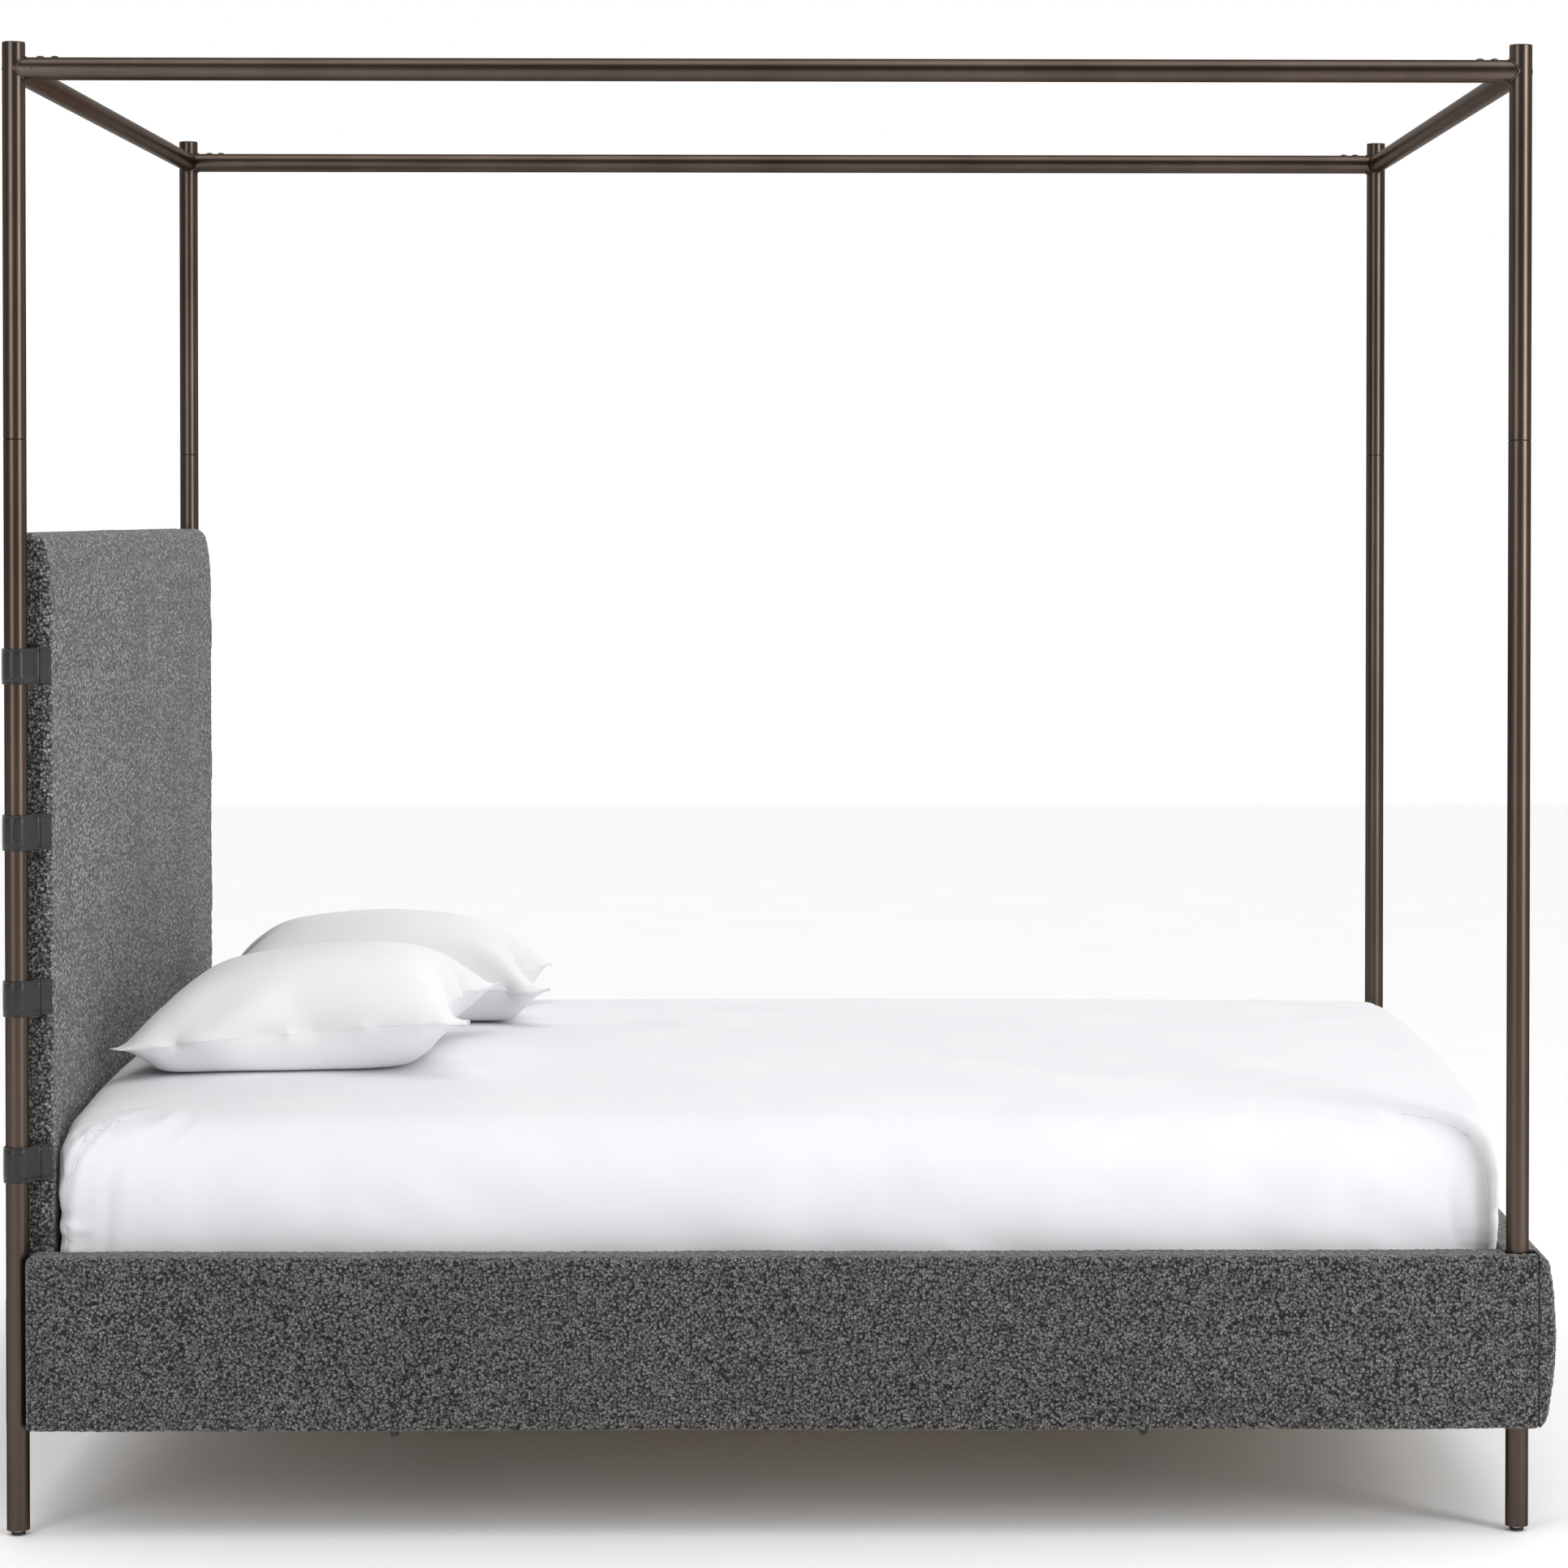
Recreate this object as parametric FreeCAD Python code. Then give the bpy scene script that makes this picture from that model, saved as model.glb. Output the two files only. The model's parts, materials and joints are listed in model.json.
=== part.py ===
import FreeCAD, Part
import math
import os

# Four poster canopy bed: round steel posts and canopy rails, upholstered side rails,
# footboard and strapped-on headboard, timber slats, a fitted mattress and two pillows.
# Millimetres. +X from head to foot, +Y across, +Z up, floor at z = 0.
# Everything is built about the middle of the four posts, then moved along X by
# FRAME_SHIFT so that the origin is the middle of the whole bed's footprint.

Vector = FreeCAD.Vector

# ---------------------------------------------------------------- driving dimensions
POST_SPACING_LENGTH = 2092.0
POST_SPACING_WIDTH = 1600.0
TUBE_RADIUS = 15.875
TUBE_WALL = 2.0
POST_TOP = 2075.0
POST_BOTTOM = 7.0
POST_SPLIT_Z = 1525.0
CANOPY_AXIS_Z = 2038.0

HEADBOARD_BACK = 1067.0      # distance behind the middle of the posts
HEADBOARD_FRONT = 1002.0
HEADBOARD_HALF_WIDTH = 772.0
HEADBOARD_BOTTOM = 330.0
HEADBOARD_TOP = 1395.0

RAIL_BOTTOM = 148.5
RAIL_TOP = 390.0
SIDE_FACE = 832.0            # outer face of the side rails, from the centre line
SIDE_INNER = 774.0
FOOT_SEAM = 1073.0           # where the side rail's cover meets the footboard's
FOOT_CROWN = 1096.5
FOOT_INNER = 1030.5

COVER = 2.5                  # upholstery fabric with its backing
PADDING = 4.0
PANEL = 9.0
BOARD = 40.0

MATTRESS_HEAD = -1000.0
MATTRESS_FOOT = 1028.3
MATTRESS_HALF_WIDTH = 764.0
MATTRESS_BOTTOM = 300.0
MATTRESS_CROWN_TOP = 600.0
SHEET = 1.2

STRAP_HEIGHT = 50.0
STRAP_THICKNESS = 3.0
STRAP_TOP_Z = 1210.0
STRAP_PITCH = 231.0
STRAP_COUNT = 4

SLAT_COUNT = 13

# ---------------------------------------------------------------- derived dimensions
POST_X = POST_SPACING_LENGTH / 2
POST_Y = POST_SPACING_WIDTH / 2
FRAME_SHIFT = (HEADBOARD_BACK - FOOT_CROWN) / 2
FIT = 0.1                    # clearance between pieces that go into each other
CUT_PAST = 5.0               # how far a cutting tool runs on past a face
BEYOND = 900.0               # further out than any part of the bed across its width
POST_GAP = 2.0
BOARD_END = POST_X - TUBE_RADIUS - POST_GAP
BOARD_BOTTOM = RAIL_BOTTOM + COVER
BOARD_TOP = RAIL_TOP - COVER - PADDING
PANEL_INNER = SIDE_FACE - COVER - PADDING - PANEL
BOARD_INNER = PANEL_INNER - BOARD
BOARD_MIDDLE = PANEL_INNER - BOARD / 2

ENDS = {"head": -1, "foot": 1}
SIDES = {"near": -1, "far": 1}


# ---------------------------------------------------------------- shape helpers
def box(x_a, x_b, y_a, y_b, z_a, z_b):
    """Box between two opposite corners, given in any order."""
    low = Vector(min(x_a, x_b), min(y_a, y_b), min(z_a, z_b))
    return Part.makeBox(abs(x_b - x_a), abs(y_b - y_a), abs(z_b - z_a), low)


def rod(start, end, radius):
    """Solid cylinder from one point to another."""
    start = Vector(*start)
    along = Vector(*end) - start
    return Part.makeCylinder(radius, along.Length, start, along)


def tube(start, end, radius, wall):
    """Round tube from one point to another."""
    return rod(start, end, radius).cut(rod(start, end, radius - wall))


def turned(profile, x, y):
    """Solid turned about the vertical line through x, y from (radius, z) points."""
    points = [Vector(x + r, y, z) for r, z in profile]
    face = Part.Face(Part.makePolygon(points + points[:1]))
    return face.revolve(Vector(x, y, 0), Vector(0, 0, 1), 360)


def joined(shapes):
    """One solid from touching solids."""
    shape = shapes[0]
    for other in shapes[1:]:
        shape = shape.fuse(other)
    return shape.removeSplitter()


def edges_along(shape, axis, test):
    """Straight edges parallel to an axis whose middle passes the test."""
    found = []
    for edge in shape.Edges:
        if edge.Curve.TypeId != "Part::GeomLine":
            continue
        direction = edge.tangentAt(edge.FirstParameter)
        if abs(direction.dot(axis)) > 0.999 and test(edge.CenterOfMass):
            found.append(edge)
    return found


def save(name, *solids):
    """Write one node: a single solid, or a group of separate ones."""
    shape = solids[0] if len(solids) == 1 else Part.makeCompound(list(solids))
    shape = shape.copy()
    shape.translate(Vector(FRAME_SHIFT, 0, 0))
    shape.exportStep(f"parts/{name}.step")


# ---------------------------------------------------------------- posts
SPLIT_CHAMFER = 0.8
CAP_THICKNESS = 3.0
CAP_ROUNDING = 1.6
CAP_PLUG_LENGTH = 20.0
JOINER_LENGTH = 160.0
JOINER_WALL = 2.5
INNER_RADIUS = TUBE_RADIUS - TUBE_WALL


def post_lower(x, y):
    post = tube((x, y, POST_BOTTOM), (x, y, POST_SPLIT_Z), TUBE_RADIUS, TUBE_WALL)
    rim = [e for e in post.Edges if e.BoundBox.ZMin > POST_SPLIT_Z - 1
           and e.BoundBox.XLength > 2 * INNER_RADIUS + 1]
    return post.makeChamfer(SPLIT_CHAMFER, rim)


def post_upper(x, y):
    top = POST_TOP - CAP_THICKNESS
    post = tube((x, y, POST_SPLIT_Z), (x, y, top), TUBE_RADIUS, TUBE_WALL)
    rim = [e for e in post.Edges if e.BoundBox.ZMax < POST_SPLIT_Z + 1
           and e.BoundBox.XLength > 2 * INNER_RADIUS + 1]
    return post.makeChamfer(SPLIT_CHAMFER, rim)


def post_joiner(x, y):
    low = POST_SPLIT_Z - JOINER_LENGTH / 2
    return tube((x, y, low), (x, y, low + JOINER_LENGTH), INNER_RADIUS - FIT, JOINER_WALL)


def post_cap(x, y):
    top = POST_TOP - CAP_THICKNESS
    disc = rod((x, y, top), (x, y, POST_TOP), TUBE_RADIUS)
    rim = [e for e in disc.Edges if e.BoundBox.ZMin > POST_TOP - 0.5]
    disc = disc.makeFillet(CAP_ROUNDING, rim)
    plug = rod((x, y, top - CAP_PLUG_LENGTH), (x, y, top), INNER_RADIUS - FIT)
    return joined([disc, plug])


def post_outline(x, y):
    """The space a post fills, for coping the tubes that meet it."""
    return rod((x, y, 0), (x, y, POST_TOP), TUBE_RADIUS)


# ---------------------------------------------------------------- levelling feet
STEM_RADIUS = 3.9
STEM_TOP = 46.0
INSERT_HEIGHT = 25.0
PAD_RADIUS = 9.75
PAD_TOP = 4.3
HEX_ACROSS_FLATS = 16.0
HEX_BOTTOM = 4.5
HEX_TOP = 6.8


def foot_insert(x, y):
    top = POST_BOTTOM + INSERT_HEIGHT
    plug = rod((x, y, POST_BOTTOM), (x, y, top), INNER_RADIUS - FIT)
    return plug.cut(rod((x, y, POST_BOTTOM), (x, y, top), STEM_RADIUS + FIT))


def leveller_pad(x, y):
    """Round pad with a hidden socket that keeps the stem's end."""
    profile = [(0, 0), (PAD_RADIUS - 0.8, 0), (PAD_RADIUS, 0.8), (PAD_RADIUS, PAD_TOP - 1.0),
               (PAD_RADIUS - 1.0, PAD_TOP), (3.4, PAD_TOP), (3.4, 3.7), (5.4, 3.7),
               (5.4, 1.3), (0, 1.3)]
    return turned(profile, x, y)


def leveller_stem(x, y):
    """Threaded stem with a hexagon to turn it and a button caught in the pad."""
    stem = turned([(0, 1.6), (5.0, 1.6), (5.0, 3.4), (3.0, 3.4), (3.0, HEX_BOTTOM + 0.2),
                   (STEM_RADIUS, HEX_TOP), (STEM_RADIUS, STEM_TOP - 1),
                   (STEM_RADIUS - 1, STEM_TOP), (0, STEM_TOP)], x, y)
    corner = HEX_ACROSS_FLATS / math.sqrt(3)
    points = []
    for step in range(7):
        angle = math.radians(60 * step)
        points.append(Vector(x + corner * math.cos(angle), y + corner * math.sin(angle), HEX_BOTTOM))
    hexagon = Part.Face(Part.makePolygon(points)).extrude(Vector(0, 0, HEX_TOP - HEX_BOTTOM))
    return joined([stem, hexagon])


# ---------------------------------------------------------------- canopy
SADDLE_END = 22.0            # the welded stub ends this far from the post's centre line
SPIGOT_LENGTH = 70.0
SCREW_OFFSETS = (37.0, 57.0)
SCREW_SHANK = 2.9
SCREW_HEAD_RADIUS = 6.25
SCREW_HEAD_HEIGHT = 3.2
SCREW_HEAD_RIM = 0.7
SCREW_RECESS_FLOOR = 1.2
SCREW_RECESS_RADIUS = 2.1
SPOT_FACE_RADIUS = 6.6
SPOT_FACE_DEPTH = 1.4
PIN_OFFSET = 27.0
PIN_RADIUS = 2.0
PIN_INSIDE = 6.0             # the pin's inner end, from the rail's axis
PIN_PROUD = 0.6


def stub_outline(end, side):
    """Short round bar from the post's centre line towards the long rail."""
    y = side * POST_Y
    start = (end * (POST_X - SADDLE_END), y, CANOPY_AXIS_Z)
    return rod(start, (end * POST_X, y, CANOPY_AXIS_Z), TUBE_RADIUS)


def canopy_end_rail(end):
    """Tube across the bed, coped round both posts of one end and their stubs."""
    x = end * POST_X
    rail = tube((x, -POST_Y, CANOPY_AXIS_Z), (x, POST_Y, CANOPY_AXIS_Z), TUBE_RADIUS, TUBE_WALL)
    for side in SIDES.values():
        rail = rail.cut(post_outline(x, side * POST_Y)).cut(stub_outline(end, side))
    return rail


def canopy_stub(end, side):
    """Coped stub welded to the post, with the spigot that the long rail slides over."""
    y = side * POST_Y
    start = (end * (POST_X - SADDLE_END), y, CANOPY_AXIS_Z)
    stub = stub_outline(end, side).cut(post_outline(end * POST_X, y))
    tip = (end * (POST_X - SADDLE_END - SPIGOT_LENGTH), y, CANOPY_AXIS_Z)
    shape = joined([stub, rod(start, tip, INNER_RADIUS - FIT)])
    for offset in SCREW_OFFSETS:
        x = end * (POST_X - offset)
        above = (x, y, CANOPY_AXIS_Z + TUBE_RADIUS)
        shape = shape.cut(rod((x, y, CANOPY_AXIS_Z), above, SCREW_SHANK + FIT))
    pin_x = end * (POST_X - PIN_OFFSET)
    pin_end = side * (POST_Y + TUBE_RADIUS)
    return shape.cut(rod((pin_x, y, CANOPY_AXIS_Z), (pin_x, pin_end, CANOPY_AXIS_Z), PIN_RADIUS + FIT))


def canopy_side_rail(side):
    """Long tube with a spot-faced pair of screw holes in the top of each end."""
    y = side * POST_Y
    half = POST_X - SADDLE_END
    rail = tube((-half, y, CANOPY_AXIS_Z), (half, y, CANOPY_AXIS_Z), TUBE_RADIUS, TUBE_WALL)
    crest = CANOPY_AXIS_Z + TUBE_RADIUS
    for end in ENDS.values():
        for offset in SCREW_OFFSETS:
            x = end * (POST_X - offset)
            above = (x, y, crest + CUT_PAST)
            rail = rail.cut(rod((x, y, crest - SPOT_FACE_DEPTH), above, SPOT_FACE_RADIUS))
            rail = rail.cut(rod((x, y, CANOPY_AXIS_Z), above, SCREW_SHANK + FIT))
        x = end * (POST_X - PIN_OFFSET)
        outside = side * (POST_Y + TUBE_RADIUS + CUT_PAST)
        rail = rail.cut(rod((x, y, CANOPY_AXIS_Z), (x, outside, CANOPY_AXIS_Z), PIN_RADIUS + FIT))
    return rail


def canopy_screw(x, y):
    """Button head screw with a hexagon recess."""
    seat = CANOPY_AXIS_Z + TUBE_RADIUS - SPOT_FACE_DEPTH
    top = seat + SCREW_HEAD_HEIGHT
    head = turned([(0, seat), (SCREW_HEAD_RADIUS, seat), (SCREW_HEAD_RADIUS, seat + SCREW_HEAD_RIM),
                   (5.2, seat + 2.1), (3.2, top), (0, top)], x, y)
    shank = rod((x, y, CANOPY_AXIS_Z + 4), (x, y, seat), SCREW_SHANK)
    recess = rod((x, y, seat + SCREW_RECESS_FLOOR), (x, y, seat + CUT_PAST), SCREW_RECESS_RADIUS)
    return joined([head, shank]).cut(recess)


def canopy_pin(end, side):
    x = end * (POST_X - PIN_OFFSET)
    inner = side * (POST_Y + PIN_INSIDE)
    outer = side * (POST_Y + TUBE_RADIUS + PIN_PROUD)
    return rod((x, inner, CANOPY_AXIS_Z), (x, outer, CANOPY_AXIS_Z), PIN_RADIUS)


# ---------------------------------------------------------------- knife plates and bolts
PLATE_THICKNESS = 4.0
PLATE_LENGTH = 60.0
PLATE_BOTTOM = 190.0
PLATE_TOP = 350.0
HEAD_PLATE_TOP = 312.0       # lower across the head, to pass under the headboard
SLOT_CLEARANCE = 0.3
BOLT_HEIGHTS = (225.0, 315.0)
BOLT_FROM_POST = 48.0
BOLT_RADIUS = 4.0
BOLT_HEAD_RADIUS = 6.5
BOLT_HEAD_HEIGHT = 5.0
BOLT_END_GAP = 4.0


def side_plate(end, side, grow=0.0):
    """Plate welded to a post, running along the bed into the side rail's board."""
    start = end * POST_X
    tip = end * (POST_X - TUBE_RADIUS - PLATE_LENGTH - grow)
    half = PLATE_THICKNESS / 2 + grow
    middle = side * BOARD_MIDDLE
    plate = box(start, tip, middle - half, middle + half, PLATE_BOTTOM - grow, PLATE_TOP + grow)
    return plate.cut(post_outline(start, side * POST_Y))


def cross_plate(end, side, grow=0.0):
    """Plate welded to a post, running across the bed into the end board."""
    start = side * POST_Y
    tip = side * (POST_Y - TUBE_RADIUS - PLATE_LENGTH - grow)
    half = PLATE_THICKNESS / 2 + grow
    middle = end * POST_X
    top = PLATE_TOP if end > 0 else HEAD_PLATE_TOP
    plate = box(middle - half, middle + half, start, tip, PLATE_BOTTOM - grow, top + grow)
    return plate.cut(post_outline(middle, start))


def side_bolt(end, side, z, grow=0.0):
    """Bolt across the side rail's board, its head let into the inner face."""
    x = end * (POST_X - BOLT_FROM_POST)
    face = side * BOARD_INNER
    seat = side * (BOARD_INNER + BOLT_HEAD_HEIGHT + grow)
    tip = side * (PANEL_INNER - BOLT_END_GAP + grow)
    head = rod((x, face, z), (x, seat, z), BOLT_HEAD_RADIUS + grow)
    return joined([head, rod((x, seat, z), (x, tip, z), BOLT_RADIUS + grow)])


def cross_bolt(end, side, z, face, far_face, grow=0.0):
    """Bolt along the bed through an end board, from its inner face."""
    y = side * (POST_Y - BOLT_FROM_POST)
    way = math.copysign(1, far_face - face)
    seat = face + way * (BOLT_HEAD_HEIGHT + grow)
    tip = far_face - way * (BOLT_END_GAP - grow)
    head = rod((face, y, z), (seat, y, z), BOLT_HEAD_RADIUS + grow)
    return joined([head, rod((seat, y, z), (tip, y, z), BOLT_RADIUS + grow)])


# ---------------------------------------------------------------- cross bars
BAR_X = POST_SPACING_LENGTH / 4
BAR_WIDTH = 50.0
BAR_HEIGHT = 25.0
BAR_WALL = 2.0
BAR_BOTTOM = BOARD_BOTTOM + 0.5
BAR_TOP = BAR_BOTTOM + BAR_HEIGHT
BAR_HALF_LENGTH = PANEL_INNER - 4.0
HANGER_RADIUS = 3.9
HANGER_BOTTOM = 137.0
HANGER_TOP = 240.0
NUT_BOTTOM = 134.5
NUT_RADIUS = 7.3


def cross_bar(x):
    """Rectangular steel tube across the bed, let into the side rails' lower edges."""
    half = BAR_WIDTH / 2
    bar = box(x - half, x + half, -BAR_HALF_LENGTH, BAR_HALF_LENGTH, BAR_BOTTOM, BAR_TOP)
    half -= BAR_WALL
    hollow = box(x - half, x + half, -BAR_HALF_LENGTH, BAR_HALF_LENGTH,
                 BAR_BOTTOM + BAR_WALL, BAR_TOP - BAR_WALL)
    bar = bar.cut(hollow)
    for side in SIDES.values():
        bar = bar.cut(hanger_bolt(x, side, FIT))
    return bar


def hanger_bolt(x, side, grow=0.0):
    y = side * BOARD_MIDDLE
    return rod((x, y, HANGER_BOTTOM - grow), (x, y, HANGER_TOP + grow), HANGER_RADIUS + grow)


def cap_nut(x, side):
    """Domed nut that shows under the side rail."""
    y = side * BOARD_MIDDLE
    nut = turned([(0, NUT_BOTTOM), (3.0, NUT_BOTTOM + 0.5), (5.2, NUT_BOTTOM + 2.2),
                  (6.2, NUT_BOTTOM + 4.6), (6.2, NUT_BOTTOM + 6.5), (NUT_RADIUS, NUT_BOTTOM + 7.0),
                  (NUT_RADIUS, RAIL_BOTTOM), (0, RAIL_BOTTOM)], x, y)
    return nut.cut(hanger_bolt(x, side, FIT))


# ---------------------------------------------------------------- side rails
OUTER_ROUNDING = 9.0
INNER_ROUNDING = 4.0
INNER_RETURN = 355.0         # the cover turns over the top and is stapled above this height


def side_rail_cuts(side):
    """Everything let into a side rail: plate slots, bolts, cross bars, hanger bolts."""
    cuts = []
    for end in ENDS.values():
        cuts.append(side_plate(end, side, SLOT_CLEARANCE))
        for z in BOLT_HEIGHTS:
            cuts.append(side_bolt(end, side, z, FIT))
    for x in (-BAR_X, BAR_X):
        half = BAR_WIDTH / 2 + SLOT_CLEARANCE
        cuts.append(box(x - half, x + half, 0, side * (BAR_HALF_LENGTH + 0.5),
                        BOARD_BOTTOM - 0.1, BAR_TOP + SLOT_CLEARANCE))
        cuts.append(hanger_bolt(x, side, FIT))
    return Part.makeCompound(cuts)


def side_rail_board(side):
    board = box(-BOARD_END, BOARD_END, side * BOARD_INNER, side * PANEL_INNER, BOARD_BOTTOM, BOARD_TOP)
    return board.cut(side_rail_cuts(side))


def side_rail_panel(side):
    """Thin outer panel that runs on past the foot post."""
    return box(-BOARD_END, FOOT_SEAM - COVER, side * PANEL_INNER, side * (PANEL_INNER + PANEL),
               BOARD_BOTTOM, BOARD_TOP)


def side_rail_block(side, inset):
    """The rail's soft outline: a long block with its top edges rounded."""
    head_end = -BOARD_END if inset else -(POST_X - TUBE_RADIUS - FIT)
    block = box(head_end, FOOT_SEAM - inset, side * (SIDE_INNER + inset),
                side * (SIDE_FACE - inset), RAIL_BOTTOM + inset, RAIL_TOP - inset)
    middle = (SIDE_INNER + SIDE_FACE) / 2
    top = RAIL_TOP - inset - 1
    outer = edges_along(block, Vector(1, 0, 0), lambda p: p.z > top and abs(p.y) > middle)
    block = block.makeFillet(OUTER_ROUNDING - inset, outer)
    inner = edges_along(block, Vector(1, 0, 0), lambda p: p.z > top and abs(p.y) < middle - 20)
    return block.makeFillet(INNER_ROUNDING - inset, inner)


def foot_post_pocket(side):
    """Room for the foot post, open towards the inside of the bed."""
    return box(BOARD_END, FOOT_SEAM + 1, 0, side * PANEL_INNER, 0, RAIL_TOP + 1)


def side_rail_padding(side):
    """Foam over the panel's face and over the rail's top edge."""
    inside = box(-POST_X, FOOT_SEAM, side * (BOARD_INNER - 1), side * (PANEL_INNER + PANEL),
                 BOARD_BOTTOM - 1, BOARD_TOP)
    return side_rail_block(side, COVER).cut(inside).cut(foot_post_pocket(side))


def side_rail_cover(side):
    """Upholstery round the outer face, the top, the underside and the foot end."""
    open_back = box(-POST_X, FOOT_SEAM, side * (SIDE_INNER - 1), side * BOARD_INNER,
                    BOARD_BOTTOM, INNER_RETURN)
    cover = side_rail_block(side, 0.0).cut(side_rail_block(side, COVER)).cut(open_back)
    return cover.cut(foot_post_pocket(side)).cut(side_rail_cuts(side))


# ---------------------------------------------------------------- footboard
FOOT_BOARD_INNER = FOOT_INNER + COVER
FOOT_BOARD_OUTER = FOOT_BOARD_INNER + BOARD
FOOT_BOARD_HALF = POST_Y - TUBE_RADIUS - POST_GAP
FOOT_PANEL_HALF = SIDE_FACE - COVER
FOOT_PANEL_MARGIN = 26.0     # the panel stops short of the rounded top and bottom edges
CREST_LIFT = 16.0            # the crown stands furthest out this far above mid-height
SHOULDER_DROP = 20.0         # where the crowned face meets the rounded top edge
SHOULDER_BACK = 7.5
HIP_RISE = 29.5              # where it meets the rounded bottom edge
HIP_BACK = 9.5


def footboard_outline(inset):
    """Section of the footboard: flat inner face, crowned outer face, soft top and bottom."""
    inner = FOOT_INNER + inset
    top = RAIL_TOP - inset
    bottom = RAIL_BOTTOM + inset

    def at(x, z):
        return Vector(x, 0, z)

    top_start = at(FOOT_SEAM, top)
    shoulder = at(FOOT_CROWN - SHOULDER_BACK - inset, RAIL_TOP - SHOULDER_DROP)
    hip = at(FOOT_CROWN - HIP_BACK - inset, RAIL_BOTTOM + HIP_RISE)
    bottom_end = at(FOOT_SEAM + 3.0, bottom)
    crest = at(FOOT_CROWN - inset, 0.5 * (RAIL_TOP + RAIL_BOTTOM) + CREST_LIFT)
    top_arc = Part.Arc(top_start, at(FOOT_SEAM + 10.5, top - 5.5), shoulder)
    face_arc = Part.Arc(shoulder, crest, hip)
    bottom_arc = Part.Arc(hip, at(FOOT_SEAM + 10.0 - inset, bottom + 11.0), bottom_end)
    edges = [top_arc.toShape(), face_arc.toShape(), bottom_arc.toShape(),
             Part.LineSegment(bottom_end, at(inner, bottom)).toShape(),
             Part.LineSegment(at(inner, bottom), at(inner, top)).toShape(),
             Part.LineSegment(at(inner, top), top_start).toShape()]
    return Part.Face(Part.Wire(edges))


def footboard_block(inset, half_width):
    face = footboard_outline(inset)
    face.translate(Vector(0, -half_width, 0))
    return face.extrude(Vector(0, 2 * half_width, 0))


def footboard_pockets():
    """Room for the foot posts and the ends of the side rails."""
    cuts = []
    for side in SIDES.values():
        cuts.append(box(FOOT_INNER - 1, FOOT_SEAM + FIT, side * (FOOT_BOARD_HALF + FIT), side * BEYOND,
                        0, RAIL_TOP + 1))
    return Part.makeCompound(cuts)


def footboard_cuts():
    cuts = []
    for side in SIDES.values():
        cuts.append(cross_plate(1, side, SLOT_CLEARANCE))
        for z in BOLT_HEIGHTS:
            cuts.append(cross_bolt(1, side, z, FOOT_BOARD_INNER, FOOT_BOARD_OUTER, FIT))
    return Part.makeCompound(cuts)


def footboard_board():
    board = box(FOOT_BOARD_INNER, FOOT_BOARD_OUTER, -FOOT_BOARD_HALF, FOOT_BOARD_HALF,
                BOARD_BOTTOM, BOARD_TOP)
    return board.cut(footboard_cuts())


def footboard_panel():
    return box(FOOT_BOARD_OUTER, FOOT_BOARD_OUTER + PANEL, -FOOT_PANEL_HALF, FOOT_PANEL_HALF,
               BOARD_BOTTOM + FOOT_PANEL_MARGIN, BOARD_TOP - FOOT_PANEL_MARGIN)


def footboard_padding():
    """Crowned foam over the panel and along the footboard's top edge."""
    block = footboard_block(COVER, FOOT_PANEL_HALF)
    behind = box(FOOT_BOARD_INNER - 1, FOOT_BOARD_OUTER, -BEYOND, BEYOND, BOARD_BOTTOM - 1, BOARD_TOP)
    return block.cut(behind).cut(footboard_panel()).cut(footboard_pockets())


def footboard_cover():
    block = footboard_block(0.0, SIDE_FACE)
    core = footboard_block(COVER, FOOT_PANEL_HALF)
    open_back = box(FOOT_INNER - 1, FOOT_BOARD_INNER, -BEYOND, BEYOND, BOARD_BOTTOM, INNER_RETURN)
    return block.cut(core).cut(open_back).cut(footboard_pockets()).cut(footboard_cuts())


# ---------------------------------------------------------------- head cross rail
CROSS_RAIL_TOP = HEADBOARD_BOTTOM - 4.0
CROSS_RAIL_OUTER = -(POST_X + BOARD / 2)
CROSS_RAIL_INNER = -(POST_X - TUBE_RADIUS + 0.6)


def head_cross_rail():
    """Timber rail between the head posts, below the headboard."""
    half = FOOT_BOARD_HALF
    rail = box(CROSS_RAIL_OUTER, CROSS_RAIL_INNER, -half, half, BOARD_BOTTOM, CROSS_RAIL_TOP)
    for side in SIDES.values():
        rail = rail.cut(cross_plate(-1, side, SLOT_CLEARANCE))
        rail = rail.cut(head_bolt(side, FIT))
    return rail


def head_bolt(side, grow=0.0):
    return cross_bolt(-1, side, BOLT_HEIGHTS[0], CROSS_RAIL_INNER, CROSS_RAIL_OUTER, grow)


# ---------------------------------------------------------------- slats and their support
SLAT_THICKNESS = 12.0
SLAT_WIDTH = 70.0
SLAT_TOP = MATTRESS_BOTTOM - 0.6
SLAT_BOTTOM = SLAT_TOP - SLAT_THICKNESS
SLAT_FIRST = -965.0
SLAT_LAST = 985.0
CLEAT = 30.0
CLEAT_HALF_LENGTH = 1020.0
BEAM_WIDTH = 35.0


def slat_cleat(side):
    """Timber strip along the inner face of a side rail."""
    return box(-CLEAT_HALF_LENGTH, CLEAT_HALF_LENGTH, side * BOARD_INNER, side * (BOARD_INNER - CLEAT),
               SLAT_BOTTOM - CLEAT, SLAT_BOTTOM - FIT)


def centre_beam():
    """Deep timber beam from the head cross rail to the footboard, over the cross bars."""
    return box(CROSS_RAIL_INNER, FOOT_BOARD_INNER, -BEAM_WIDTH / 2, BEAM_WIDTH / 2,
               BAR_TOP, SLAT_BOTTOM - FIT)


def slat(index):
    x = SLAT_FIRST + (SLAT_LAST - SLAT_FIRST) * index / (SLAT_COUNT - 1)
    half = BOARD_INNER - 1.0
    return box(x - SLAT_WIDTH / 2, x + SLAT_WIDTH / 2, -half, half, SLAT_BOTTOM, SLAT_TOP)


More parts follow.
